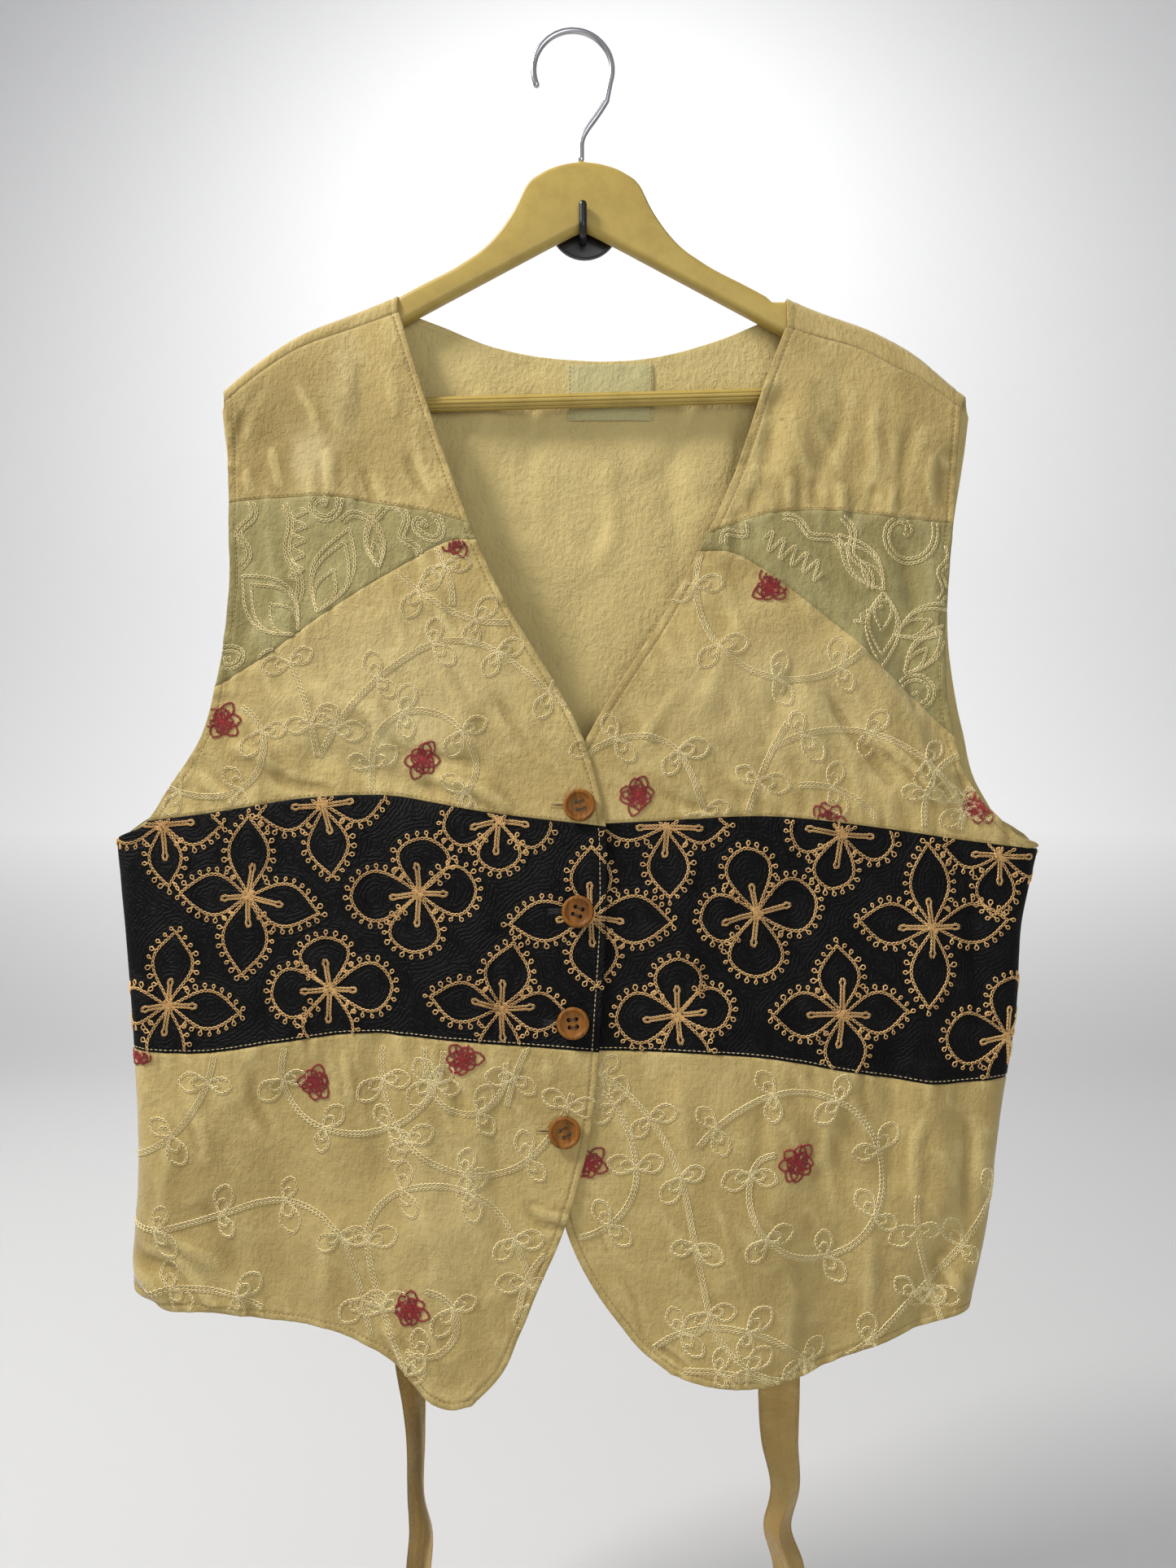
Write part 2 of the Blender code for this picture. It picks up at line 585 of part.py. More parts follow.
def make_tie(side, name):
    """A waist tie: a band sewn to the back that hangs, partly folded lengthwise."""
    rows = TIES[side]
    columns = {key: [(row[0], row[k + 1]) for row in rows]
               for k, key in enumerate(("x", "y", "width", "fold"))}
    front, rear = [], []
    for z in np.linspace(rows[-1][0], rows[0][0], TIE_ROWS + 1):
        x, y, width, fold = (float(smooth(columns[key], z)) for key in ("x", "y", "width", "fold"))
        lean = math.acos(min(width / TIE_WIDTH, 1.0))
        for k in range(TIE_COLUMNS + 1):
            part = k / TIE_COLUMNS - 0.5
            away = (abs(part) - 0.25) * TIE_WIDTH * math.sin(lean) * fold
            slant = part * TIE_WIDTH * math.cos(lean)
            shift = TIE_THICK / 2
            front.append((x + slant, y + away - shift, z))
            rear.append((x + slant, y + away + shift, z))
    wide = TIE_COLUMNS + 1
    quads = [(i * wide + j, (i + 1) * wide + j, (i + 1) * wide + j + 1, i * wide + j + 1)
             for i in range(TIE_ROWS) for j in range(TIE_COLUMNS)]
    count = len(front)
    used = {(quad[k], quad[(k + 1) % 4]) for quad in quads for k in range(4)}
    faces = list(quads)
    faces += [tuple(corner + count for corner in quad[::-1]) for quad in quads]
    faces += [(b, a, a + count, b + count) for a, b in sorted(used) if (b, a) not in used]
    add_piece(name, mesh_from(name, front + rear, faces), "tie_cloth", round_piece=False)


def loft(name, rings, material):
    """Solid through a row of rings with equal counts of points, closed by flat ends."""
    count = len(rings[0])
    points = [point for ring in rings for point in ring]
    faces = [tuple(range(count))[::-1]]
    for i in range(len(rings) - 1):
        for j in range(count):
            k = (j + 1) % count
            faces.append((i * count + j, i * count + k, (i + 1) * count + k, (i + 1) * count + j))
    last = (len(rings) - 1) * count
    faces.append(tuple(range(last, last + count)))
    return add_piece(name, mesh_from(name, points, faces), material)


def arm_section(x, top, foot, corner):
    """Rounded upright section of the hanger at one x, going round it as seen along +X."""
    half = ARM_THICK / 2
    ring = []
    for centre_y, centre_z, start in ((half, top, 0), (-half, top, 90), (-half, foot, 180),
                                      (half, foot, 270)):
        inward_y = -corner if centre_y > 0 else corner
        inward_z = -corner if centre_z == top else corner
        for step in range(4):
            angle = math.radians(start + 30 * step)
            ring.append((x, ARM_MIDDLE_Y + centre_y + inward_y + corner * math.cos(angle),
                         centre_z + inward_z + corner * math.sin(angle)))
    return ring


def make_hanger():
    """Flat shaped arms, the ribbed bar between their ends and the bent wire hook."""
    open_stations = (0, 8, 16, 24, 30, 35, 39, 43, 47, 52, 58, 66, 78, 92, 106, 118)
    covered_stations = (132, 150, 168, 180, BAR_SEAT_X, BAR_SEAT_X + GAP,
                        ARM_END_X - ARM_END_ROUND, ARM_END_X)
    rings = []
    for side, stations in ((RIGHT, [*open_stations, *covered_stations][::-1]),
                           (LEFT, [*open_stations[1:], *covered_stations])):
        for away in stations:
            x = HANGER_MIDDLE_X + side * away
            top = float(smooth(HANGER_TOP, away))
            if away >= open_stations[-1]:
                slope = float(ridge(x + 1) - ridge(x - 1)) / 2
                top = float(ridge(x)) - (WALL + ARM_SEAT_GAP) * math.hypot(1, slope)
            foot = max(ARM_APEX_Z - ARM_SLOPE * away, BAR_Z[side] + BAR_RADIUS + GAP)
            if away > BAR_SEAT_X:
                foot = BAR_Z[side] - ARM_END_DROP
            if away == ARM_END_X:
                top, foot = top - ARM_END_ROUND, foot + ARM_END_ROUND
            rings.append(arm_section(x, top, foot, ARM_CORNER))
    loft("hanger_body", rings, "hanger_paint")

    rings = []
    for side in (RIGHT, LEFT):
        ring = []
        for k in range(2 * BAR_RIBS):
            angle = math.pi * k / BAR_RIBS
            radius = BAR_RADIUS - (BAR_GROOVE if k % 2 else 0)
            ring.append((HANGER_MIDDLE_X + side * (BAR_SEAT_X - GAP),
                         ARM_MIDDLE_Y + radius * math.cos(angle),
                         BAR_Z[side] + radius * math.sin(angle)))
        rings.append(ring)
    loft("hanger_bar", rings, "hanger_paint")

    route = [(x, ARM_MIDDLE_Y, z) for x, z in WIRE_STEM]
    for angle in np.linspace(HOOK_START_ANGLE, HOOK_END_ANGLE, 19):
        route.append((HOOK_CENTRE[0] + HOOK_RADIUS * math.cos(angle), ARM_MIDDLE_Y,
                      HOOK_CENTRE[1] + HOOK_RADIUS * math.sin(angle)))
    make_rod("hanger_hook", route, WIRE_RADIUS, "hook_wire")


def make_rod(name, route, radius, material, sides=12):
    """Round rod along a route that stays in one upright plane, with flat ends."""
    route = [Vector(point) for point in route]
    directions = []
    for k, here in enumerate(route):
        before, after = route[max(k - 1, 0)], route[min(k + 1, len(route) - 1)]
        directions.append((after - before).normalized())
    flat = directions[0].cross(directions[len(route) // 2])
    if flat.length < 0.01:
        flat = directions[0].cross(directions[-1])
    flat.normalize()
    rings = []
    for here, ahead in zip(route, directions):
        across = flat.cross(ahead)
        rings.append([here + radius * (math.cos(2 * math.pi * k / sides) * across
                                       + math.sin(2 * math.pi * k / sides) * flat)
                      for k in range(sides)])
    piece = loft(name, rings, material)
    face_outward(piece.data)
    return piece


def face_outward(mesh):
    """Turns the faces of a closed mesh outward."""
    work = bmesh.new()
    work.from_mesh(mesh)
    bmesh.ops.recalc_face_normals(work, faces=work.faces)
    work.to_mesh(mesh)
    work.free()


def turned(name, outline, segments, material):
    """Turned solid round +Z from an outline of (radius, height), its ends closed flat."""
    rings = []
    for radius, height in outline:
        rings.append([(radius * math.cos(2 * math.pi * k / segments),
                       radius * math.sin(2 * math.pi * k / segments), height)
                      for k in range(segments)])
    piece = loft(name, rings, material)
    face_outward(piece.data)
    return piece


def make_wall_hook():
    """Round plate on the wall, and the peg that runs out under the hanger and turns up."""
    outline = ((PLATE_RADIUS, 0), (PLATE_RADIUS, PLATE_THICK - PLATE_EDGE),
               (PLATE_RADIUS - PLATE_EDGE, PLATE_THICK))
    plate = turned("wall_plate", outline, 32, "wall_hook_black")
    plate.rotation_euler = (math.radians(90), 0, 0)

    x = HANGER_MIDDLE_X
    peg_z = ARM_APEX_Z - (GAP + PEG_RADIUS) * math.hypot(1, ARM_SLOPE)
    post_y = ARM_MIDDLE_Y - ARM_THICK / 2 - PEG_CLEARANCE - PEG_RADIUS
    route = [(x, -PLATE_THICK - GAP, peg_z), (x, (post_y + PEG_BEND - PLATE_THICK) / 2, peg_z)]
    for angle in np.linspace(0, math.pi / 2, 6):
        route.append((x, post_y + PEG_BEND - PEG_BEND * math.sin(angle),
                      peg_z + PEG_BEND - PEG_BEND * math.cos(angle)))
    route += [(x, post_y, (peg_z + PEG_TIP_Z) / 2), (x, post_y, PEG_TIP_Z)]
    make_rod("wall_peg", route, PEG_RADIUS, "wall_hook_black")


def make_buttons():
    """Four turned buttons with four holes each, flat on the overlap's outer face."""
    for number, (x, z) in enumerate(BUTTONS, start=1):
        seat = cloth_point(RIGHT, FRONT, x, z, BUTTON_SEAT)
        ahead = cloth_point(RIGHT, FRONT, x, z, BUTTON_SEAT + 1.0)
        normal = Vector(ahead - seat).normalized()
        side = Vector((1, 0, 0)) - normal * normal.x
        side.normalize()
        turn = Matrix((side, normal.cross(side), normal)).transposed().to_4x4()
        button = turned(f"button_{number}", BUTTON_OUTLINE, 24, "button_wood")
        button.matrix_world = Matrix.Translation(Vector(seat) * MM) @ turn
        drill = bmesh.new()
        for across in (-1, 1):
            for up in (-1, 1):
                place = Vector((across, up, 0)) * BUTTON_HOLE_OFFSET * MM
                bmesh.ops.create_cone(drill, cap_ends=True, segments=8, radius1=BUTTON_HOLE * MM,
                                      radius2=BUTTON_HOLE * MM, depth=DRILL_LENGTH * MM,
                                      matrix=Matrix.Translation(place))
        drill_mesh = bpy.data.meshes.new(f"button_{number}_drill")
        drill.to_mesh(drill_mesh)
        drill.free()
        cutter = bpy.data.objects.new(f"button_{number}_drill", drill_mesh)
        bpy.context.scene.collection.objects.link(cutter)
        cutter.hide_render = True
        cutter.display_type = "WIRE"
        cutter.matrix_world = button.matrix_world
        cut = button.modifiers.new("Holes", "BOOLEAN")
        cut.operation = "DIFFERENCE"
        cut.solver = "EXACT"
        cut.object = cutter


make_front(RIGHT, "right")
make_front(LEFT, "left")
make_back()
make_label()
make_tie(RIGHT, "tie_right")
make_tie(LEFT, "tie_left")
make_buttons()
make_hanger()
make_wall_hook()
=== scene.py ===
# %% [markdown]
# # An embroidered waistcoat on its hanger
#
# The waistcoat is made of washed tan rayon, with sage insets, a black embroidered band across
# both fronts, four wooden buttons and two waist ties. It hangs on a flat hanger from a black
# wall hook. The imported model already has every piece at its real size. This lesson dresses it:
# thin cloth with creases, real chain stitch, wood, paint and wire.
#
# Lengths are in millimetres until a mesh is made. +Z is up, the front looks along -Y.

from math import atan2, cos, degrees, hypot, pi, radians, sin, sqrt

import bmesh
import bpy
import numpy as np
from mathutils import Matrix, Vector, kdtree


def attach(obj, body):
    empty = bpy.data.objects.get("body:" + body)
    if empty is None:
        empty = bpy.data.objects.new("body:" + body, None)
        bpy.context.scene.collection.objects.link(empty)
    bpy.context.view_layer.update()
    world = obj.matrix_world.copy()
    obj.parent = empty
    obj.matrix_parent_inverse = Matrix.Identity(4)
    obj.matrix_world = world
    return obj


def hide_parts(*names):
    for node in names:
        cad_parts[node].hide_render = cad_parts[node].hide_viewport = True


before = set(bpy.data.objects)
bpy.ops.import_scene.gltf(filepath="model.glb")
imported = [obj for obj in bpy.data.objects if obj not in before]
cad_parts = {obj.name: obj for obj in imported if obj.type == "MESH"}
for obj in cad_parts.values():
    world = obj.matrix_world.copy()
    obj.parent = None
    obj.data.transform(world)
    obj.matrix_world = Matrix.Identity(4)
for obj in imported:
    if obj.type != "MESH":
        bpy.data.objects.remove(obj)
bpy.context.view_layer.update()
MM = 0.001
print("packed nodes:", len(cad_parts))

# %% [markdown]
# ## The camera
#
# The garment was seen straight on from the height of its chest, where the lower edges of the
# hanger's arms still show. A camera could be found by matching many points, but one distance is
# enough here: 0.75 m in front of the buttons, one pixel of the 1445 x 1927 picture is half a
# millimetre. The lens follows from that.

# %% Camera
PICTURE_TALL = 1927
PIXEL = 0.5
BUTTONS_AWAY = 750
SENSOR = 36.0
CAMERA_PLACE = (2.2, -790.0, -361.0)

camera_data = bpy.data.cameras.new("camera")
camera_data.sensor_width = SENSOR
camera_data.lens = SENSOR * BUTTONS_AWAY / (PICTURE_TALL * PIXEL)
camera = bpy.data.objects.new("camera", camera_data)
camera.location = Vector(CAMERA_PLACE) * MM
camera.rotation_euler = (radians(90), 0, 0)
bpy.context.scene.collection.objects.link(camera)
bpy.context.scene.camera = camera
print("lens:", round(camera_data.lens, 2), "mm")

# %% [markdown]
# ## Floor and light
#
# A pale floor that curves up into a backdrop leaves no horizon behind the garment. It could be
# a plane and a wall, but one swept sheet has no corner to catch a shadow. A soft light from the
# upper left lets the creases show, weaker ones in front and behind keep the other sides
# readable, and the last one lights the backdrop alone.

# %% Floor and lights
FLOOR_Z = -0.99
FLOOR_HALF = 4.0
COVE_START = 1.9
COVE_RADIUS = 1.3
BACKDROP_TOP = 3.6
COVE_STEPS = 12
# The paint gets paler with height: from and to in metres, from and to in grey
FLOOR_TO_WALL = (FLOOR_Z, -0.5, 0.50, 0.90)
AIM = Vector((0, 0, -0.36))
WORLD_COLOUR = (0.80, 0.81, 0.84, 1)
WORLD_STRENGTH = 0.40
# Name, place, size, watts, colour, aim
LIGHTS = (
    ("key", (-1.35, -0.62, 1.25), 0.42, 58, (1.0, 0.98, 0.95), AIM),
    ("fill", (0.7, -2.4, 0.1), 1.6, 21, (0.96, 0.98, 1.0), AIM),
    ("back", (-1.0, 1.5, 1.0), 1.0, 13, (1, 1, 1), AIM),
    ("backdrop", (0.0, 1.4, 1.9), 1.6, 37, (1, 1, 1), Vector((0.0, 3.2, -0.5))),
)


def add_floor():
    """A floor sheet whose far side turns up in a quarter circle."""
    outline = [(-FLOOR_HALF, FLOOR_Z), (COVE_START, FLOOR_Z)]
    for step in range(1, COVE_STEPS + 1):
        angle = radians(90) * step / COVE_STEPS
        outline.append((COVE_START + COVE_RADIUS * sin(angle),
                        FLOOR_Z + COVE_RADIUS * (1 - cos(angle))))
    outline.append((COVE_START + COVE_RADIUS, BACKDROP_TOP))
    mesh = bpy.data.meshes.new("floor")
    points = [(x, y, z) for y, z in outline for x in (-FLOOR_HALF, FLOOR_HALF)]
    faces = [(2 * k, 2 * k + 1, 2 * k + 3, 2 * k + 2) for k in range(len(outline) - 1)]
    mesh.from_pydata(points, [], faces)
    mesh.shade_smooth()
    floor = bpy.data.objects.new("floor", mesh)
    bpy.context.scene.collection.objects.link(floor)
    material = bpy.data.materials.new("floor_paint")
    material.use_nodes = True
    tree = material.node_tree
    shader = tree.nodes["Principled BSDF"]
    shader.inputs["Roughness"].default_value = 0.9
    place = tree.nodes.new("ShaderNodeTexCoord")
    parts = tree.nodes.new("ShaderNodeSeparateXYZ")
    paler = tree.nodes.new("ShaderNodeMapRange")
    for key, value in zip(("From Min", "From Max", "To Min", "To Max"), FLOOR_TO_WALL):
        paler.inputs[key].default_value = value
    tree.links.new(place.outputs["Object"], parts.inputs[0])
    tree.links.new(parts.outputs["Z"], paler.inputs["Value"])
    tree.links.new(paler.outputs[0], shader.inputs["Base Color"])
    mesh.materials.append(material)


def add_light(name, place, size, watts, colour, aim):
    """A square soft light that looks at a place."""
    data = bpy.data.lights.new(name, "AREA")
    data.size = size
    data.energy = watts
    data.color = colour
    light = bpy.data.objects.new(name, data)
    light.location = place
    light.rotation_euler = (aim - Vector(place)).to_track_quat("-Z", "Y").to_euler()
    bpy.context.scene.collection.objects.link(light)


add_floor()
for light_row in LIGHTS:
    add_light(*light_row)
world = bpy.data.worlds.new("studio")
world.use_nodes = True
world.node_tree.nodes["Background"].inputs["Color"].default_value = WORLD_COLOUR
world.node_tree.nodes["Background"].inputs["Strength"].default_value = WORLD_STRENGTH
bpy.context.scene.world = world
bpy.context.scene.view_settings.view_transform = "Standard"
print("lights:", [row[0] for row in LIGHTS])

# %% [markdown]
# ## The shape of the hung cloth
#
# The cloth hangs from the two arms of the hanger and falls almost flat against the wall. Its
# form is a rule and not a sculpture: a shoulder ridge, a face that stands forward as it falls,
# rounded sides and a few large folds. A place on the cloth has two numbers. p runs outward from
# the middle and round the side, and v runs up the cloth and over the shoulder. The cut of each
# pattern piece can then be drawn flat, as a tailor would, and the rule hangs it up.

# %% Sizes of the hung cloth
WALL = 1.5
GAP = 0.3
ARM_THICK = 11.4
ARM_MIDDLE_Y = -11.5
SHOULDER_CORNER = 5.8
SIDE_SEAM_ANGLE = radians(100)
SIDE_INSET = 14.0
EDGE_FLATTENING = 0.45
FOLD_START = 60.0
HALF_WIDTH = 270.0
LAP_STEP = 2.2
LAP_FULL = 22.0
LAP_GONE = 70.0
FACE_OUT = ARM_THICK / 2 + GAP + WALL
SHOULDER_FLAT = FACE_OUT - SHOULDER_CORNER
SHOULDER_ARCH = pi * SHOULDER_CORNER + 2 * SHOULDER_FLAT
BACK_Y = ARM_MIDDLE_Y + FACE_OUT
FRONT_Y = ARM_MIDDLE_Y - FACE_OUT
RIGHT, LEFT = -1, 1
FRONT, BACK = "front", "back"
SIDES = (RIGHT, LEFT)
SIDE_NAMES = {RIGHT: "right", LEFT: "left"}

# Shoulder ridge: x, z
RIDGE = {
    RIGHT: ((-236, -118), (-217, -101), (-186, -79), (-144, -61.5), (-118, -51)),
    LEFT: ((128, -52.5), (146, -60), (188, -76), (209, -88), (234, -109), (250, -122)),
}
# Forward shoulder seam: x, drop below the ridge
SEAM_DROP = {
    RIGHT: ((-236, 9.5), (-180, 9.5), (-118, 12)),
    LEFT: ((128, 20), (171, 16), (196, 17), (217, 14), (250, 9.5)),
}
# How far the front stands forward: height below the shoulder, depth
FRONT_DEPTH = ((0, 0), (50, 4), (120, 10), (220, 18), (320, 22), (450, 25), (600, 29), (700, 32))
# Silhouette of the sides: z, x
SIDE = {
    RIGHT: ((-690, -283), (-660, -284), (-606, -281), (-529, -284), (-472, -288), (-401, -295)),
    LEFT: ((-690, 241), (-637, 253), (-575, 261), (-503, 272), (-447, 276), (-402, 286)),
}
# Front edge, from the hem up the overlap and the neckline: z, x
FRONT_EDGE = {
    RIGHT: ((-736, -68), (-722, -53), (-695, -39), (-671, -29), (-637, -14), (-587, 1),
            (-494, 11), (-419, 14), (-379, 12), (-335, 0), (-236, -55), (-127, -97), (-60, -118)),
    LEFT: ((-719, 53), (-708, 37), (-690, 21), (-661, 1), (-637, -10), (-600, -17), (-500, -18),
           (-400, -17), (-364, -14), (-324, 6), (-253, 51), (-171, 92), (-101, 116), (-70, 128)),
}
# Armholes from the underarm up: z, p
FRONT_ARMHOLE = {
    RIGHT: ((-384, -273), (-367, -262), (-334, -240), (-300, -230), (-247, -223), (-184, -224),
            (-122, -227)),
    LEFT: ((-391, 267), (-367, 244), (-324, 229), (-278, 225), (-237, 228), (-175, 234),
           (-125, 238)),
}
BACK_ARMHOLE = {
    RIGHT: ((-372, -269), (-346, -250), (-291, -231), (-223, -226), (-171, -228), (-122, -233)),
    LEFT: ((-380, 263), (-359, 251), (-328, 243), (-270, 234), (-197, 237), (-142, 245),
           (-125, 247)),
}
UNDERARM_Z = {RIGHT: -401, LEFT: -403}
HEM_CORNER_Z = {RIGHT: -679, LEFT: -688}
# Seams across each front, from the side to the front edge: x, z
YOKE_SEAM = {
    RIGHT: ((-224, -184), (-190, -181), (-162, -181), (-121, -187), (-90, -193), (-67, -200)),
    LEFT: ((74, -206), (92, -199), (115, -192), (143, -190), (195, -194), (233, -197)),
}
INSET_SEAM = {
    RIGHT: ((-229, -300), (-191, -276), (-151, -248), (-110, -223), (-85, -210), (-65, -209)),
    LEFT: ((72, -216), (92, -217), (117, -232), (158, -264), (198, -301), (233, -334)),
}
BAND_TOP = {
    RIGHT: ((-273, -384), (-226, -378), (-175, -370), (-119, -368), (-69, -377), (12, -387)),
    LEFT: ((-17, -387), (41, -384), (116, -381), (182, -388), (244, -397), (268, -400)),
}
BAND_FOOT = {
    RIGHT: ((-300, -526), (-236, -528), (-184, -520), (-134, -514), (-84, -518), (7, -525)),
    LEFT: ((-18, -524), (66, -526), (116, -530), (166, -539), (217, -546), (262, -544)),
}
HEM = {
    RIGHT: ((-295, -676), (-269, -682), (-204, -690), (-138, -701), (-112, -716), (-97, -732),
            (-83, -738), (-68, -736)),
    LEFT: ((53, -719), (75, -725), (120, -725), (150, -716), (190, -702), (233, -689),
           (262, -686)),
}
BACK_NECK = ((-118, -57), (-94, -66), (-62, -79), (-10, -88), (43, -87), (85, -76), (128, -58))
BACK_HEM = ((-300, -679), (-200, -655), (0, -637), (190, -660), (260, -688))

# The largest folds: x and z of both ends, spread, rise (out is above zero)
FRONT_FOLDS = {
    RIGHT: (
        (-165, -346, -102, -364, 12, -4),
        (-129, -520, -122, -600, 9, -3),
        (-284, -652, -232, -684, 10, 4.5),
        (-280, -676, -255, -690, 7, -3.5),
        (-190, -110, -200, -175, 14, -2),
        (-150, -95, -155, -180, 12, 2),
        (-90, -640, -84, -735, 30, 6),
        (-190, -560, -185, -690, 26, -5),
        (-222, -122, -224, -150, 12, -2.5),
    ),
    LEFT: (
        (168, -278, 213, -356, 13, 4.5),
        (190, -270, 226, -335, 10, -3),
        (122, -118, 108, -160, 8, -2.5),
        (145, -105, 130, -165, 9, 2.5),
        (188, -530, 190, -600, 9, -3.5),
        (216, -540, 222, -620, 10, 3),
        (228, -640, 205, -700, 12, -4),
        (95, -640, 85, -725, 32, 5),
        (150, -600, 150, -712, 20, -4),
        (234, -130, 236, -165, 12, -2.5),
    ),
}
BACK_FOLDS = (
    (0, -330, 5, -630, 30, -8),
    (-55, -430, -58, -630, 16, 1.5),
    (58, -430, 66, -630, 16, 1.5),
    (-190, -430, -180, -650, 24, -7),
    (180, -440, 176, -655, 22, -7),
    (-160, -210, -120, -330, 22, -5),
    (165, -220, 120, -340, 22, -5),
)
# Buttons on the overlap: x, z
BUTTONS = ((-3, -374), (-4, -439), (-7, -507), (-12, -573))
TAPER = 1.15


# %% Rules that hang the cloth
def smooth(rows, at):
    """Reads a smooth curve through the rows of a table, and runs on straight past its ends."""
    place, value = np.array(rows, dtype=float).T
    slope = np.gradient(value, place)
    at = np.asarray(at, dtype=float)
    inside = np.clip(at, place[0], place[-1])
    k = np.clip(np.searchsorted(place, inside, side="right") - 1, 0, len(place) - 2)
    span = place[k + 1] - place[k]
    t = (inside - place[k]) / span
    curve = ((1 + 2 * t) * (1 - t) ** 2 * value[k] + t * (1 - t) ** 2 * span * slope[k]
             + t * t * (3 - 2 * t) * value[k + 1] - t * t * (1 - t) * span * slope[k + 1])
    end_slope = np.where(at < place[0], slope[0], slope[-1])
    return curve + (at - inside) * end_slope


def ease(t):
    t = np.clip(t, 0, 1)
    return t * t * (3 - 2 * t)


def ridge(x):
    """Height of the shoulder ridge; it stays level across the neck."""
    right = smooth(RIDGE[RIGHT], np.minimum(x, RIDGE[RIGHT][-1][0]))
    left = smooth(RIDGE[LEFT], np.maximum(x, RIDGE[LEFT][0][0]))
    return np.where(np.asarray(x) < 0, right, left)


def fold_rise(table, x, z, tapered=False):
    """Sum of soft folds at a place: each is a rounded ridge or trough along a line."""
    rise = np.zeros(np.broadcast(x, z).shape)
    for x0, z0, x1, z1, spread, height in table:
        share = ((x - x0) * (x1 - x0) + (z - z0) * (z1 - z0)) / ((x1 - x0) ** 2 + (z1 - z0) ** 2)
        taper = np.clip(TAPER - (2 * share - 1) ** 2, 0, 1) if tapered else 1
        share = np.clip(share, 0, 1)
        away = np.hypot(x - x0 - share * (x1 - x0), z - z0 - share * (z1 - z0))
        rise = rise + height * taper * np.exp(-(away / spread) ** 2)
    return rise


def front_plain_y(x, z):
    """The front's outer face before its folds."""
    below = np.maximum(ridge(x) - SHOULDER_CORNER - z, 0)
    bulge = 1 - EDGE_FLATTENING * (x / HALF_WIDTH) ** 2
    return FRONT_Y - smooth(FRONT_DEPTH, below) * bulge


def lap(x):
    """1 where the fronts lie on each other, fading to 0 further along the under front."""
    return 1 - ease((np.abs(x) - LAP_FULL) / (LAP_GONE - LAP_FULL))


def side_fold(side, z):
    """Silhouette and radius of the rounded side fold at a height."""
    edge = np.abs(smooth(SIDE[side], z))
    radius = (BACK_Y - front_plain_y(side * (edge - SIDE_INSET), z)) / 2
    return edge, radius


def side_seam(side, face, z):
    """p of the side seam, from the front or from the back."""
    edge, radius = side_fold(side, z)
    angle = SIDE_SEAM_ANGLE if face == FRONT else pi - SIDE_SEAM_ANGLE
    return side * (edge - radius + radius * angle)


def outer_face(side, face, p, v):
    """Point of the cloth's outer face at p along it and v up it."""
    p, v = np.broadcast_arrays(np.asarray(p, dtype=float), np.asarray(v, dtype=float))
    start = ridge(p) - SHOULDER_CORNER
    s = v - start
    quarter = pi * SHOULDER_CORNER / 2
    first = np.clip(s / SHOULDER_CORNER, 0, pi / 2)
    second = np.clip((s - quarter - 2 * SHOULDER_FLAT) / SHOULDER_CORNER, 0, pi / 2)
    across = np.clip(s - quarter, 0, 2 * SHOULDER_FLAT)
    arch_z = start + SHOULDER_CORNER * (np.sin(first) + np.cos(second) - 1)
    arch_y = (SHOULDER_FLAT + SHOULDER_CORNER * np.cos(first) - across
              - SHOULDER_CORNER * np.sin(second))
    z = np.where(s < 0, v, np.where(s > SHOULDER_ARCH, start - (s - SHOULDER_ARCH), arch_z))

    edge, radius = side_fold(side, z)
    turn = np.clip((np.abs(p) - (edge - radius)) / radius, 0, pi)
    flat_x = np.clip(np.abs(p), 0, edge - radius) * np.sign(p)
    x = flat_x + np.sign(p) * radius * np.sin(turn)
    fade = np.cos(np.minimum(turn, pi / 2))
    front_y = front_plain_y(flat_x, z)
    front_y = front_y + (BACK_Y - front_y - 2 * radius) * ease(turn * 4)
    loose = fade * ease((start - z) / FOLD_START)
    front_y = front_y + radius * (1 - np.cos(turn)) - loose * fold_rise(FRONT_FOLDS[side], p, z)
    if side == LEFT:
        front_y = front_y + LAP_STEP * lap(p)
    back_y = BACK_Y - radius * (1 - np.cos(turn)) + fade * fold_rise(BACK_FOLDS, p, z)
    if face == FRONT:
        y = np.where(s > 0, ARM_MIDDLE_Y - arch_y, front_y)
    else:
        y = np.where(s > 0, ARM_MIDDLE_Y + arch_y, back_y)
        y = np.where(s > SHOULDER_ARCH, front_y, y)
    return np.stack([x, y, z], axis=-1)


def cloth_point(side, face, p, v, out=0.0):
    """Point of the outer face moved out along the cloth's own normal (inward below zero)."""
    step = 0.05
    across = outer_face(side, face, p + step, v) - outer_face(side, face, p - step, v)
    up = outer_face(side, face, p, v + step) - outer_face(side, face, p, v - step)
    normal = np.cross(across, up)
    if face == BACK:
        normal = -normal
    normal = normal / np.maximum(np.linalg.norm(normal, axis=-1, keepdims=True), 1e-9)
    return outer_face(side, face, p, v) + normal * np.asarray(out)[..., None]


print("cloth stands", -FRONT_Y, "to", -FRONT_Y + FRONT_DEPTH[-1][1], "mm off the wall")
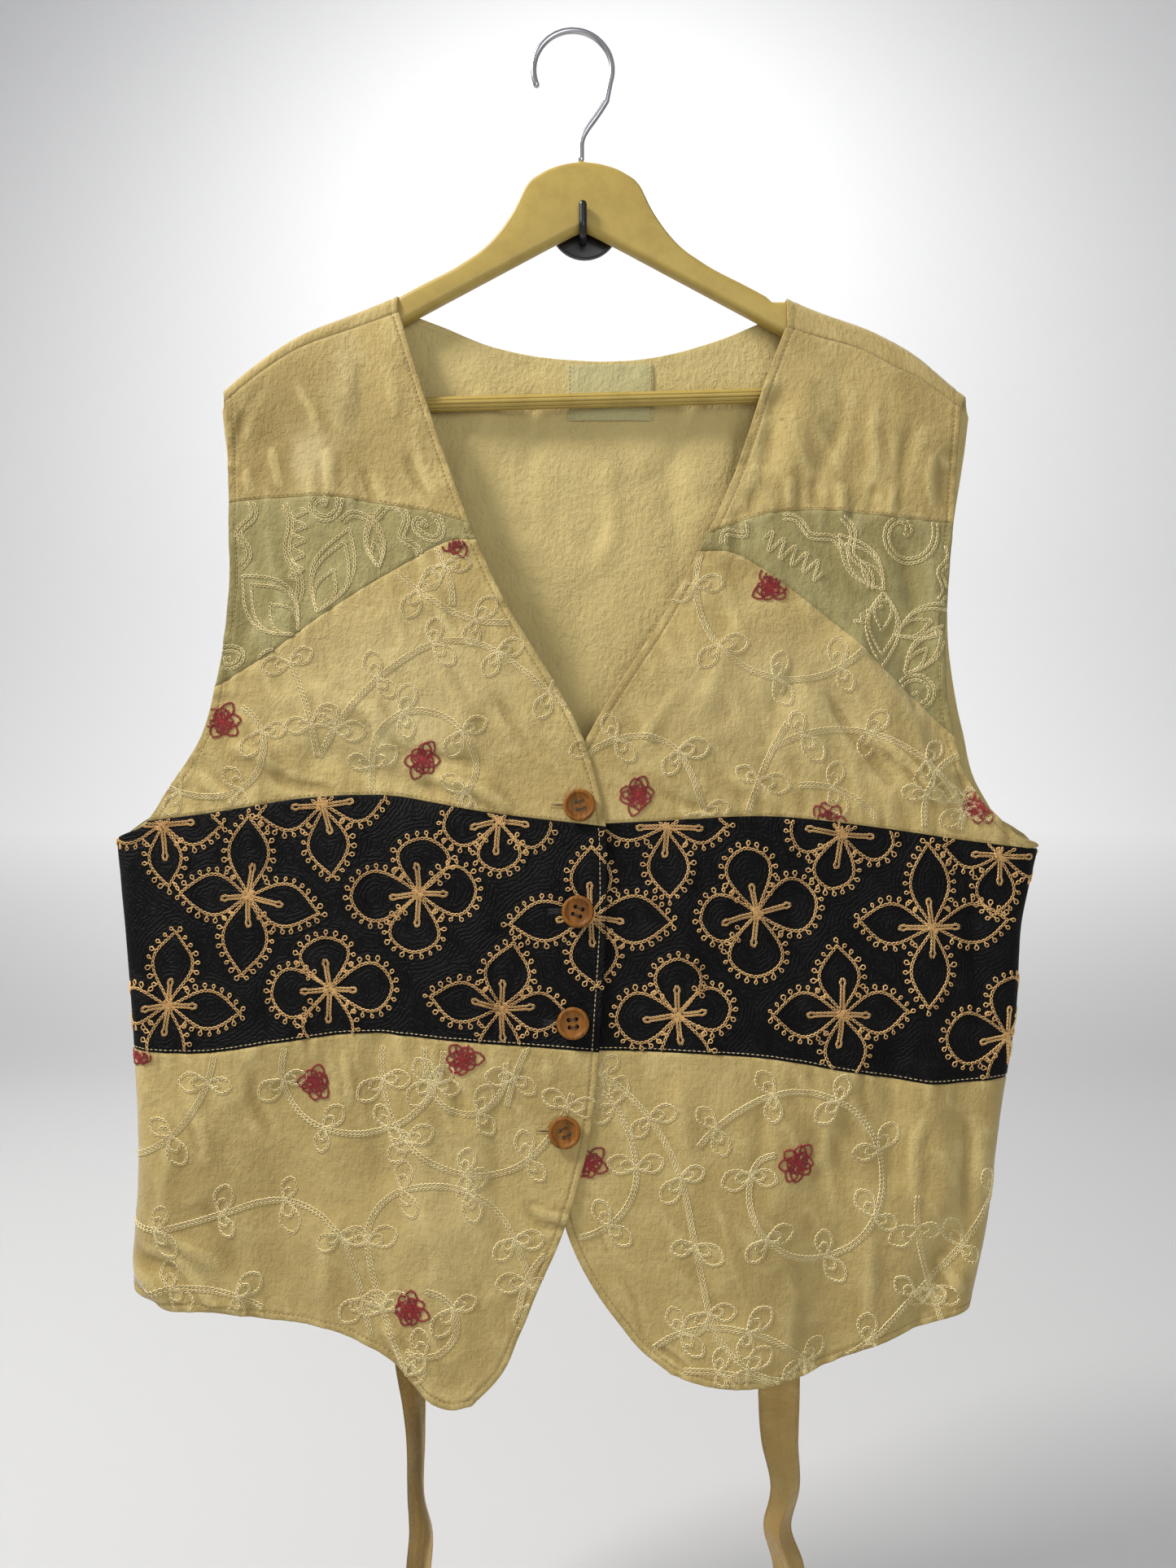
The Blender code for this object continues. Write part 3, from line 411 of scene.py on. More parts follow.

# %% [markdown]
# ## Creases, puckers and crumple
#
# Washed rayon is never flat. Seams shrink and pull the cloth into short puckers, the stitching
# gathers it, and storage leaves soft creases. A cloth simulation would give folds of its own
# choosing, so the creases that matter are placed in short tables, and seeded noise adds
# the small unevenness between them. All of it is a rise in millimetres above the hung form.

# %% Creases placed one by one
# x and z of both ends, spread, rise
FRONT_CREASES = {
    RIGHT: (
        (-203, -104, -213, -127, 4, -1.5), (-213, -127, -221, -146, 4, -1.6),
        (-178, -98, -172, -142, 5, 0.7), (-196, -150, -191, -178, 4, 0.9),
        (-140, -90, -146, -140, 6, -0.7), (-124, -84, -118, -130, 5, 0.7),
        (-108, -150, -99, -188, 4, -0.8), (-163, -152, -161, -180, 3, 0.8),
        (-136, -160, -132, -184, 3, -0.7), (-212, -160, -209, -182, 3, 0.8),
        (-200, -205, -186, -262, 5, 0.8), (-216, -215, -212, -290, 5, -0.8),
        (-175, -300, -120, -328, 6, 0.9), (-120, -334, -62, -350, 5, -0.9),
        (-222, -334, -188, -352, 4, 1), (-92, -286, -70, -338, 6, 0.8),
        (-58, -300, -28, -350, 5, -0.7), (-102, -352, -40, -374, 3.5, 1),
        (-196, -352, -152, -370, 4, -1), (-240, -352, -206, -376, 4, 1),
        (-250, -400, -240, -470, 7, 1), (-130, -392, -127, -450, 8, -0.9),
        (-60, -400, -66, -500, 8, 0.8), (-200, -450, -190, -515, 7, -0.8),
        (-34, -620, -10, -627, 2.4, 0.9), (-30, -629, -6, -634, 2.4, -0.8),
        (-242, -538, -232, -600, 6, 1), (-204, -532, -196, -584, 5, -0.9),
        (-150, -618, -160, -680, 8, 1), (-104, -552, -96, -640, 8, 0.9),
        (-60, -560, -50, -640, 7, -0.9), (-122, -690, -102, -718, 4.5, 1),
        (-232, -620, -210, -668, 6, -1), (-264, -560, -256, -640, 7, 0.9),
        (-150, -524, -145, -560, 3.5, 1), (-86, -524, -80, -566, 4, -1),
        (-292, -640, -214, -692, 5, -2), (-288, -654, -232, -702, 4.5, 1.7),
        (-272, -628, -222, -660, 6, 1),
    ),
    LEFT: (
        (160, -100, 152, -160, 5, -0.8), (182, -110, 178, -172, 5, 0.9),
        (206, -124, 200, -180, 5, -0.9), (222, -150, 220, -190, 4, 0.9),
        (132, -168, 129, -190, 2.8, 1), (146, -166, 144, -189, 2.8, -0.9),
        (163, -168, 160, -191, 2.8, 1), (178, -170, 177, -192, 2.8, -0.8),
        (194, -172, 192, -193, 2.8, 0.9), (104, -172, 98, -196, 3, -0.9),
        (118, -130, 100, -178, 4, 0.9), (196, -205, 206, -262, 5, -0.9),
        (214, -212, 222, -300, 5, 0.9), (160, -206, 176, -244, 5, 0.7),
        (96, -262, 70, -330, 7, 0.8), (130, -280, 100, -360, 7, -0.8),
        (60, -300, 30, -350, 6, 0.7), (150, -300, 190, -372, 5, -1.1),
        (178, -330, 226, -378, 4, 1.1), (84, -352, 120, -376, 4, 0.9),
        (236, -352, 244, -386, 4, -1), (40, -360, 80, -376, 4, -0.8),
        (60, -396, 66, -470, 8, 0.9), (132, -400, 128, -500, 8, -0.9),
        (210, -410, 214, -520, 8, 0.9), (248, -420, 244, -520, 7, -0.9),
        (0, -603, 19, -663, 2.2, -0.9), (19, -663, 41, -704, 2.2, -0.9),
        (41, -704, 64, -716, 2.2, -0.8), (60, -540, 66, -600, 7, 0.9),
        (110, -545, 104, -620, 7, -0.9), (150, -560, 154, -640, 6, 0.9),
        (236, -560, 240, -640, 6, -1), (176, -620, 170, -700, 6, 1),
        (60, -640, 90, -690, 7, -0.8), (120, -660, 128, -718, 6, 0.9),
        (205, -560, 200, -620, 4, 1), (222, -652, 236, -676, 4, 1.2),
    ),
}
BACK_CREASES = (
    (104, -118, 98, -186, 5, 1.6), (116, -130, 112, -190, 4, -1.2),
    (70, -110, 56, -160, 5, 1), (-28, -104, -40, -170, 5, 1.1),
    (-66, -100, -84, -176, 6, -1.2), (20, -150, 14, -230, 6, -1),
    (52, -150, 64, -250, 7, 1.1), (-100, -140, -112, -240, 7, 1),
    (-170, -140, -160, -230, 7, -1.1), (180, -150, 170, -240, 7, 1.1),
    (206, -190, 190, -300, 8, -1.3), (-206, -200, -190, -320, 8, 1.3),
    (-60, -230, -40, -320, 8, 1), (-130, -320, -60, -390, 9, -1.2),
    (130, -330, 60, -400, 9, 1.2), (-220, -400, -150, -430, 8, 1.3),
    (220, -410, 150, -446, 8, -1.3), (-250, -470, -200, -520, 9, 1.2),
    (250, -480, 196, -530, 9, 1.2), (-120, -470, -110, -620, 9, 1.4),
    (118, -470, 112, -630, 9, -1.4), (30, -480, 36, -600, 8, 1.3),
    (-34, -520, -28, -630, 7, -1.2), (-250, -560, -236, -660, 8, 1.3),
    (236, -570, 226, -668, 8, 1.3), (-160, -560, -150, -640, 7, -1.1),
)
BROAD_RISE, MIDDLE_RISE, CRUMPLE_RISE = 1.1, 0.5, 0.85
CREASE_RISE = {FRONT: 2.2, BACK: 1.7}
CREASE_WANDER = 5.0
PUCKER_RISE = 1.15
# What gathers the cloth: line, whether it runs across, reach, share, seed
GATHERS = {
    FRONT: ((YOKE_SEAM, True, 13, 1, 15), (INSET_SEAM, True, 9, 1, 16), (BAND_TOP, True, 12, 1, 17),
            (BAND_FOOT, True, 13, 1, 18), (HEM, True, 8, 1, 19), (FRONT_EDGE, False, 8, 0.7, 21),
            (FRONT_ARMHOLE, False, 9, 0.7, 22)),
    BACK: ((BACK_HEM, True, 9, 1, 35), (BACK_NECK, True, 9, 0.7, 36)),
}
RELIEF_SEED = {FRONT: 10, BACK: 30}
RELIEF_FADE, SIDE_FADE = 70.0, 30.0
BUTTON_REST = 13.0
LAP_CALM, LAP_TOP, LAP_SINK = 0.75, -330.0, -0.55
NOISE_CELLS = 128
NOISE_SHIFT = 500.5


def noise(x, z, wide, tall, seed):
    """Smooth seeded noise from -1 to 1 whose humps are about wide by tall millimetres."""
    values = np.random.default_rng(seed).uniform(-1, 1, (NOISE_CELLS, NOISE_CELLS))
    x, z = np.asarray(x) / wide + NOISE_SHIFT, np.asarray(z) / tall + NOISE_SHIFT
    i, j = np.floor(x).astype(int), np.floor(z).astype(int)
    a, b = ease(x - i), ease(z - j)
    i0, j0, i1, j1 = (k % NOISE_CELLS for k in (i, j, i + 1, j + 1))
    return ((values[i0, j0] * (1 - a) + values[i1, j0] * a) * (1 - b)
            + (values[i0, j1] * (1 - a) + values[i1, j1] * a) * b)


def creases(table, x, z, seed):
    """Thin creases: they wander a little and die away at both ends."""
    x, z = (x + CREASE_WANDER * noise(x, z, 24, 30, seed),
            z + CREASE_WANDER * noise(x, z, 30, 24, seed + 1))
    return fold_rise(table, x, z, tapered=True)


def puckers(across, away, reach, seed):
    """Short gathers that run out from a line of stitching and die away."""
    wave = noise(across, away, 6.5, 34, seed) + 0.5 * noise(across, away, 3.6, 20, seed + 50)
    return PUCKER_RISE * wave * np.exp(-np.abs(away) / reach)


def relief(side, face, p, v):
    """Rise of the real cloth above its hung form."""
    seed = RELIEF_SEED[face]
    seam = np.abs(side_seam(side, face, v))
    fade = ease((ridge(p) - v) / RELIEF_FADE) * ease((seam - np.abs(p)) / SIDE_FADE)
    rough = 0.55 + 0.45 * noise(p, v, 60, 60, seed + 1)
    ridges = 1 - 2.4 * np.abs(noise(p + v * 0.3, v - p * 0.4, 15, 26, seed + 2))
    rise = (BROAD_RISE * noise(p, v, 46, 58, seed + 3)
            + MIDDLE_RISE * noise(p, v, 15, 21, seed + 4)
            + CRUMPLE_RISE * rough * ridges)
    table = FRONT_CREASES[side] if face == FRONT else BACK_CREASES
    rise = rise + CREASE_RISE[face] * creases(table, p, v, seed + 20)
    for line, crosswise, reach, share, gather_seed in GATHERS[face]:
        line = line[side] if face == FRONT else line
        run, away = (p, v - smooth(line, p)) if crosswise else (v, p - smooth(line, v))
        rise = rise + share * puckers(run, away, reach, gather_seed)
    if face == FRONT:
        for x, z in BUTTONS:
            rise = rise * (1 - np.exp(-(((p - x) ** 2 + (v - z) ** 2) / BUTTON_REST ** 2)))
        if side == LEFT:
            rise = rise * (1 - LAP_CALM * lap(p) * ease((LAP_TOP - v) / 20))
        else:
            rise = np.where(lap(p) > 0.5, np.maximum(rise, LAP_SINK), rise)
    return rise * fade


# %% [markdown]
# ## One skin for cloth and stitches
#
# Cloth, stitches, buttons and holes all have to sit on the same creased surface. The rules above
# could be worked out again for each stitch, but there are thousands. So each face is worked out
# once on a fine lattice of places, and everything else reads its point and normal from there.

# %% The skin
SKIN_STEP = 1.5
SKIN_RANGE = {FRONT: {RIGHT: (-345, 45), LEFT: (-45, 335)},
              BACK: {RIGHT: (-345, 6), LEFT: (-6, 335)}}
SKIN_HEIGHT = {FRONT: (-750, -40), BACK: (-750, 0)}
HOLLOW_REACH = 3
SKIN = {}


def lay_skin(side, face):
    """Points and normals of one face of the cloth on a lattice."""
    across = np.arange(*SKIN_RANGE[face][side], SKIN_STEP)
    up = np.arange(*SKIN_HEIGHT[face], SKIN_STEP)
    p, v = np.meshgrid(across, up)
    rise = relief(side, face, p, v)
    points = cloth_point(side, face, p, v, rise)
    normals = np.cross(np.gradient(points, axis=1), np.gradient(points, axis=0))
    normals = normals * (-1 if face == BACK else 1)
    normals = normals / np.maximum(np.linalg.norm(normals, axis=-1, keepdims=True), 1e-9)
    # How far each place lies below its neighbours; the cloth colour uses it for painted shade in
    # crease hollows and a painted highlight on crests
    around = sum(np.roll(rise, way * HOLLOW_REACH, axis) for axis in (0, 1) for way in (1, -1)) / 4
    SKIN[side, face] = (across[0], up[0], points, normals, (around - rise)[..., None])


def read_skin(side, face, p, v):
    """Point, normal and hollowness of the creased cloth at any places."""
    p0, v0, *fields = SKIN[side, face]
    points = fields[0]
    a, b = (np.asarray(p) - p0) / SKIN_STEP, (np.asarray(v) - v0) / SKIN_STEP
    i = np.clip(np.floor(b).astype(int), 0, points.shape[0] - 2)
    j = np.clip(np.floor(a).astype(int), 0, points.shape[1] - 2)
    a, b = (a - j)[..., None], (b - i)[..., None]
    return [(field[i, j] * (1 - a) + field[i, j + 1] * a) * (1 - b)
            + (field[i + 1, j] * (1 - a) + field[i + 1, j + 1] * a) * b for field in fields]


def on_cloth(side, face, p, v, out=0.0, hollow=False):
    """Point at a height above the creased cloth, or how hollow it is there.

    A side of 0 means the side that p is on."""
    p, v, out = np.broadcast_arrays(*(np.asarray(a, dtype=float) for a in (p, v, out)))
    point = np.empty((*p.shape, 3))
    owner = np.where(p < 0, RIGHT, LEFT) if side == 0 else np.full(p.shape, side)
    for one in SIDES:
        chosen = owner == one
        if chosen.any():
            place, normal, sunk = read_skin(one, face, p[chosen], v[chosen])
            point[chosen] = sunk if hollow else place + normal * out[chosen][:, None]
    return point[..., 0] if hollow else point


for skin_side in SIDES:
    for skin_face in (FRONT, BACK):
        lay_skin(skin_side, skin_face)
print("skin points:", sum(skin[2].shape[0] * skin[2].shape[1] for skin in SKIN.values()))

# %% [markdown]
# ## Materials from nodes
#
# Each finish is a Principled shader fed by noise. Cloth reads its own places on the cloth, in
# millimetres, so that slubs and stains follow the grain of each panel round the side and over
# the shoulder. Object coordinates would smear there. Small helpers keep the node trees short.


# %% Node helpers
def linear(red, green, blue):
    """Linear colour from the 0 to 255 values of a screen."""
    values = [channel / 255 for channel in (red, green, blue)]
    return (*[c / 12.92 if c < 0.04045 else ((c + 0.055) / 1.055) ** 2.4 for c in values], 1.0)


def start_material(name, roughness, metallic=0.0, sheen=0.0, specular=0.5):
    """A new material and its tree."""
    material = bpy.data.materials.new(name)
    material.use_nodes = True
    shader = material.node_tree.nodes["Principled BSDF"]
    for key, value in (("Roughness", roughness), ("Metallic", metallic), ("Sheen Weight", sheen),
                       ("Sheen Roughness", 0.45), ("Specular IOR Level", specular)):
        shader.inputs[key].default_value = value
    return material, material.node_tree


def finish_material(tree, **sockets):
    """Links the colour, the normal and any other socket of the shader."""
    shader = tree.nodes["Principled BSDF"]
    for key, value in sockets.items():
        tree.links.new(value, shader.inputs[key.replace("_", " ").title()])


def add_node(tree, kind, inputs=None, **settings):
    """Adds a node; an input is a value or another node's output."""
    node = tree.nodes.new(f"ShaderNode{kind}")
    for key, value in settings.items():
        setattr(node, key, value)
    for key, value in (inputs or {}).items():
        if isinstance(value, bpy.types.NodeSocket):
            tree.links.new(value, node.inputs[key])
        else:
            node.inputs[key].default_value = value
    return node


def maths(tree, operation, a, b=0.0):
    return add_node(tree, "Math", {0: a, 1: b}, operation=operation).outputs[0]


def times(tree, a, b):
    return maths(tree, "MULTIPLY", a, b)


def mix(tree, share, a, b):
    return add_node(tree, "Mix", {0: share, 6: a, 7: b}, data_type="RGBA").outputs[2]


def tinted(tree, colour, share, strength, tone):
    """Mixes a tone into a colour by a share, up to a strength."""
    return mix(tree, times(tree, share, strength), colour, tone)


def scaled(tree, vector, factors):
    return add_node(tree, "VectorMath", {0: vector, 1: factors}, operation="MULTIPLY").outputs[0]


def cloud(tree, vector, scale, detail=3.0, roughness=0.55, distortion=0.0):
    """Noise from 0 to 1."""
    return add_node(tree, "TexNoise", {
        "Vector": vector, "Scale": scale, "Detail": detail, "Roughness": roughness,
        "Distortion": distortion}).outputs[0]


def streaks(tree, vector, stretch, detail=2.0, roughness=0.55, distortion=0.0):
    """Noise drawn out along the cloth or across it."""
    return cloud(tree, scaled(tree, vector, stretch), 1.0, detail, roughness, distortion)


def ramp(tree, value, low, high):
    """0 below low, 1 above high, smooth between."""
    return add_node(tree, "MapRange", {"Value": value, "From Min": low, "From Max": high},
                    interpolation_type="SMOOTHSTEP").outputs[0]


def attribute(tree, name, output="Vector"):
    return add_node(tree, "Attribute", attribute_name=name).outputs[output]


def bump(tree, height, metres, normal=None):
    """Normal bent by a height; it adds to an earlier one."""
    inputs = {"Height": height, "Distance": metres, "Strength": 1.0}
    if normal is not None:
        inputs["Normal"] = normal
    return add_node(tree, "Bump", inputs).outputs[0]


print("node helpers ready")

# %% [markdown]
# ## Cloth finishes
#
# The tan cloth is uneven: washed to a paler straw in places, browner where it was handled, with
# thin slubs along both threads of the weave. Sheen gives the soft edge light of rayon. Paler and
# darker patches come from small tables of place, size and strength: the small ones are stain
# marks, and the large soft ones make the chest paler and the lower fronts and the right yoke
# darker. Creases get painted shade in their hollows and a painted highlight on their crests.

# %% Cloth finishes
def tone_set(*rows):
    """The tones of one cloth: its middle, pale and brown ones and the colour of a faded mark."""
    return dict(zip(("middle", "pale", "brown", "mark"), (linear(*row) for row in rows)))


TAN = tone_set((183, 160, 101), (203, 184, 124), (141, 120, 68), (206, 192, 142))
SAGE = tone_set((150, 138, 88), (170, 160, 112), (124, 112, 66))
BLACK = tone_set((6, 5, 6), (22, 20, 21), (2, 2, 2))
LABEL_TONES = tone_set((176, 166, 114), (182, 173, 124), (160, 148, 98))
TIE_TONES = tone_set((165, 137, 78), (184, 158, 98), (132, 102, 50))
# Patches on the fronts: p, v, half width, half height, strength (pale above zero, dark below)
TONE_PATCHES = (
    (-186, -140, 80, 66, -0.75), (-171, -160, 20, 30, 0.42), (-186, -118, 12, 40, -0.30),
    (-150, -110, 14, 50, 0.22), (-112, -330, 40, 26, 0.30), (124, -132, 1.6, 1.3, -0.95),
    (166, -140, 16, 44, -0.22), (205, -120, 14, 40, -0.25), (-84, -620, 46, 60, 0.16),
    (140, -660, 60, 30, -0.14), (95, -345, 30, 24, -0.2), (-70, -240, 22, 26, -0.28),
    (-215, -655, 40, 26, -0.2), (-190, -620, 150, 110, -0.3), (150, -640, 170, 110, -0.22),
    (-120, -300, 110, 60, 0.25), (120, -310, 110, 60, 0.2),
)
# A patch's outline wanders by this much, but not that of a spot
PATCH_WANDER = 22.0
SPOT = 3.0
# A faint line of painted shade marks the turned hem's fold this far in
HEM_SHADE_LINE = 4.6
BLACK_ROW = 2.4


def cloth_colour(tree, place, tones):
    """Blotches, faded areas, slub lines and stains."""
    blotches = ramp(tree, cloud(tree, place, 0.012, 4.0, 0.6), 0.32, 0.68)
    worn = ramp(tree, cloud(tree, place, 0.035, 3.0, 0.6, 0.6), 0.45, 0.72)
    colour = tinted(tree, tones["middle"], blotches, 0.45, tones["brown"])
    colour = tinted(tree, colour, worn, 0.5, tones["pale"])
    weft, warp = streaks(tree, place, (0.05, 1.1, 1.0)), streaks(tree, place, (1.1, 0.04, 1.0))
    slubs = ramp(tree, times(tree, weft, warp), 0.2, 0.42)
    return tinted(tree, colour, slubs, 0.28, tones["brown"])


def with_tone_patches(tree, place, colour, tones, tone_patches):
    """Fades or darkens soft round places."""
    wobble = add_node(tree, "TexNoise", {"Vector": place, "Scale": 0.06, "Detail": 4.0})
    wobble = scaled(tree, wobble.outputs[1], (PATCH_WANDER, PATCH_WANDER, 0))
    moved = add_node(tree, "VectorMath", {0: wobble, 1: place}, operation="ADD").outputs[0]
    for p, v, wide, tall, strength in tone_patches:
        start, back = (place, 0) if wide < SPOT else (moved, PATCH_WANDER / 2)
        shift = (-p - back, -v - back, 0)
        near = add_node(tree, "VectorMath", {0: start, 1: shift}, operation="ADD")
        near = scaled(tree, near.outputs[0], (1 / wide, 1 / tall, 0.0))
        away = add_node(tree, "VectorMath", {0: near}, operation="LENGTH").outputs[1]
        colour = tinted(tree, colour, ramp(tree, away, 1.15, 0.25), abs(strength),
                        tones["mark" if strength > 0 else "brown"])
    return colour


def cloth_material(name, tones, roughness=0.82, tone_patches=(), weave=0.00016):
    """Woven cloth from its own places: darker near its edges, with painted shade and highlights."""
    material, tree = start_material(name, roughness, sheen=0.35, specular=0.28)
    place = attribute(tree, "place")
    colour = cloth_colour(tree, place, tones)
    if tone_patches:
        colour = with_tone_patches(tree, place, colour, tones, tone_patches)
    # Darker in noisy patches close to each hem and seam
    turned = ramp(tree, attribute(tree, "edge", "Fac"), 3.4, 0.4)
    colour = tinted(tree, colour, turned, times(tree, cloud(tree, place, 0.12), 0.75),
                    tones["brown"])
    # Painted shade in crease hollows and a painted highlight on crease tops
    hollow = attribute(tree, "hollow", "Fac")
    colour = tinted(tree, colour, ramp(tree, hollow, 0.02, 0.40), 0.50, tones["brown"])
    colour = tinted(tree, colour, ramp(tree, hollow, -0.02, -0.40), 0.36, tones["pale"])
    # Painted shade: a faint dark line along each turned hem
    fold = maths(tree, "SUBTRACT", attribute(tree, "hem", "Fac"), HEM_SHADE_LINE)
    fold = ramp(tree, maths(tree, "ABSOLUTE", fold), 1.1, 0.2)
    colour = tinted(tree, colour, fold, 0.38, tones["brown"])
    # The inner face is paler: partly the plain reverse of the cloth, partly painted light on the
    # shaded inside of the back
    colour = tinted(tree, colour, attribute(tree, "inner", "Fac"), 0.6, tones["pale"])
    weft, warp = streaks(tree, place, (0.16, 1.7, 1.0)), streaks(tree, place, (1.7, 0.12, 1.0))
    threads = maths(tree, "ADD", weft, warp)
    bends = streaks(tree, place, (0.10, 0.07, 1.0), 4.0, 0.6, 0.8)
    lines = ramp(tree, maths(tree, "ABSOLUTE", maths(tree, "SUBTRACT", bends, 0.5)), 0.05, 0.0)
    patchy = ramp(tree, cloud(tree, place, 0.025, 2.0), 0.40, 0.65)
    crinkle = streaks(tree, place, (0.30, 0.20, 1.0), 3.0, 0.6)
    normal = bump(tree, times(tree, lines, patchy), 0.0002)
    normal = bump(tree, crinkle, 0.0011, normal)
    finish_material(tree, base_color=colour, normal=bump(tree, threads, weave, normal))
    return material


def black_material():
    """Black cloth filled with rows of black chain stitch that echo the flowers."""
    material, tree = start_material("black_chain_cloth", 0.62, sheen=0.0, specular=0.14)
    place = attribute(tree, "place")
    wander = times(tree, cloud(tree, place, 0.22, 3.0, 0.6), 5.0)
    row = maths(tree, "ADD", attribute(tree, "row", "Fac"), wander)
    rows = maths(tree, "SINE", times(tree, row, 2 * pi / BLACK_ROW))
    links = cloud(tree, place, 0.75, 2.0)
    height = maths(tree, "ADD", times(tree, rows, 0.5), links)
    # Painted shade in the grooves between the filling rows and a painted highlight on their crests
    colour = mix(tree, ramp(tree, height, 0.1, 1.1), BLACK["brown"], BLACK["middle"])
    worn = ramp(tree, cloud(tree, place, 0.05, 4.0, 0.6), 0.5, 0.75)
    colour = tinted(tree, colour, worn, 0.6, BLACK["pale"])
    finish_material(tree, base_color=colour, normal=bump(tree, height, 0.0006))
    return material


def thread_material(name, colour, dark, roughness):
    """Twisted thread, a little darker here and there."""
    material, tree = start_material(name, roughness, sheen=0.15, specular=0.45)
    place = add_node(tree, "TexCoord").outputs["Object"]
    patches = ramp(tree, cloud(tree, place, 60.0, 3.0, 0.6), 0.35, 0.7)
    single = ramp(tree, cloud(tree, place, 900.0, 1.0), 0.45, 0.7)
    colour = tinted(tree, colour, patches, 0.6, dark)
    colour = tinted(tree, colour, single, 0.35, dark)
    twist = cloud(tree, place, 3500.0, 1.0)
    finish_material(tree, base_color=colour, normal=bump(tree, twist, 0.0001))
    return material


CLOTHS = {
    "tan": cloth_material("tan_washed_cloth", TAN, tone_patches=TONE_PATCHES),
    "back": cloth_material("tan_back_cloth", TAN),
    "sage": cloth_material("sage_washed_cloth", SAGE),
    "black": black_material(),
    "label": cloth_material("label_tape", LABEL_TONES, roughness=0.6, weave=0.0001),
    "tie": cloth_material("tie_cloth", TIE_TONES),
}
# Name in the scene, colour, dark colour, roughness
THREAD_ROWS = {
    "gold": ("gold_thread", (250, 204, 134), (196, 148, 86), 0.42),
    "cream": ("cream_thread", (250, 234, 180), (212, 188, 128), 0.4),
    "red": ("red_thread", (168, 42, 44), (112, 22, 26), 0.5),
    "tan": ("tan_sewing_thread", (186, 160, 104), (132, 106, 60), 0.5),
    "light": ("light_sewing_thread", (206, 190, 150), (160, 140, 96), 0.5),
    "black": ("black_thread", (30, 28, 29), (16, 15, 16), 0.5),
    "brown": ("button_thread_and_slit_shade", (44, 28, 18), (26, 16, 10), 0.5),
}
THREADS = {key: thread_material(name, linear(*colour), linear(*dark), roughness)
           for key, (name, colour, dark, roughness) in THREAD_ROWS.items()}
print("finishes:", len(CLOTHS) + len(THREADS))

# %% [markdown]
# ## Pattern pieces
#
# A tailor cuts each front from five pieces and sews them edge to edge. Each piece is drawn here
# between four edges, as a patch that blends its edges into the middle. Rows are closer together
# near an edge, so that a seam can sink into a groove and a hem can roll over its own thickness
# without more faces in the open cloth.

# %% Edges of the pattern pieces
PANELS = ("yoke", "inset", "chest", "band", "lower")
EDGE_POINTS = 160
# Which end of a line that runs from the wearer's right to left is the inner and the outer one
INNER, OUTER = {RIGHT: -1, LEFT: 0}, {RIGHT: 0, LEFT: -1}


def crossing(seam, edge, guess):
    """Place where a seam (x, z) meets an edge read as a function of z."""
    z = guess
    for _ in range(30):
        z = float(smooth(seam, edge(z)))
    return float(edge(z)), z


def seam_line(seam, start, end):
    """Places along a seam between its two ends."""
    p = np.linspace(start[0], end[0], EDGE_POINTS)
    line = np.stack([p, smooth(seam, p)], axis=1)
    line[0], line[-1] = start, end
    return line


def front_lines(side):
    """The six lines across one front, from the shoulder seam down to the hem."""
    def edge(z):
        return smooth(FRONT_EDGE[side], z)

    def armhole(z):
        return smooth(FRONT_ARMHOLE[side], z)

    x = np.linspace(RIDGE[side][INNER[side]][0], FRONT_ARMHOLE[side][-1][1], EDGE_POINTS)
    lines = [np.stack([x, ridge(x) - smooth(SEAM_DROP[side], x)], axis=1)]
    for table in (YOKE_SEAM, INSET_SEAM, BAND_TOP, BAND_FOOT, HEM):
        seam = table[side]
        start, end = seam[INNER[side]], seam[OUTER[side]]
        inner = start if table is HEM else crossing(seam, edge, start[1])
        if table in (BAND_FOOT, HEM):
            outer_z = HEM_CORNER_Z[side] if table is HEM else end[1]
            outer = (float(side_seam(side, FRONT, outer_z)), outer_z)
        else:
            outer = crossing(seam, armhole, end[1])
        lines.append(seam_line(seam, inner, outer))
    return lines


def down_edge(curve, top, foot):
    """Places down an edge that is read as a function of height."""
    z = np.linspace(top[1], foot[1], EDGE_POINTS)
    line = np.stack([curve(z), z], axis=1)
    line[0], line[-1] = top, foot
    return line


def outer_line(side, face, armhole, top, foot):
    """Down the armhole, and below the underarm down the side seam."""
    under = UNDERARM_Z[side]
    z = np.linspace(top[1], foot[1], EDGE_POINTS)
    above = smooth(armhole, z)
    below = side_seam(side, face, np.minimum(z, under))
    last = armhole[0][0]
    share = ease((z - under) / (last - under))
    corner = (float(side_seam(side, face, under)) * (1 - share)
              + float(smooth(armhole, last)) * share)
    p = np.where(z > last, above, np.where(z < under, below, corner))
    line = np.stack([p, z], axis=1)
    line[0], line[-1] = top, foot
    return line


def panel_edges(side):
    """Top, foot, inner and outer edge of each panel of a front."""
    lines = front_lines(side)
    edges = {}
    for panel, top, foot in zip(PANELS, lines, lines[1:]):
        inner = down_edge(lambda z: smooth(FRONT_EDGE[side], z), top[0], foot[0])
        outer = outer_line(side, FRONT, FRONT_ARMHOLE[side], top[-1], foot[-1])
        edges[f"{SIDE_NAMES[side]}_{panel}"] = (top, foot, inner, outer)
    return edges


def outline_of(edges):
    """Closed outline round a panel."""
    top, foot, inner, outer = edges
    return np.concatenate([top, outer[1:], foot[::-1][1:], inner[::-1][1:]])


def flat_area(outline):
    p, v = outline[:, 0], outline[:, 1]
    return abs(np.sum(p[:-1] * v[1:] - p[1:] * v[:-1])) / 2


EDGES = panel_edges(RIGHT) | panel_edges(LEFT)
OUTLINES = {node: outline_of(edges) for node, edges in EDGES.items()}
SIDE_OF = {node: RIGHT if node.startswith("right") else LEFT for node in EDGES}
PANEL_OF = {node: node.split("_")[1] for node in EDGES}
print("square centimetres:",
      {node: round(flat_area(line) / 100) for node, line in OUTLINES.items()})


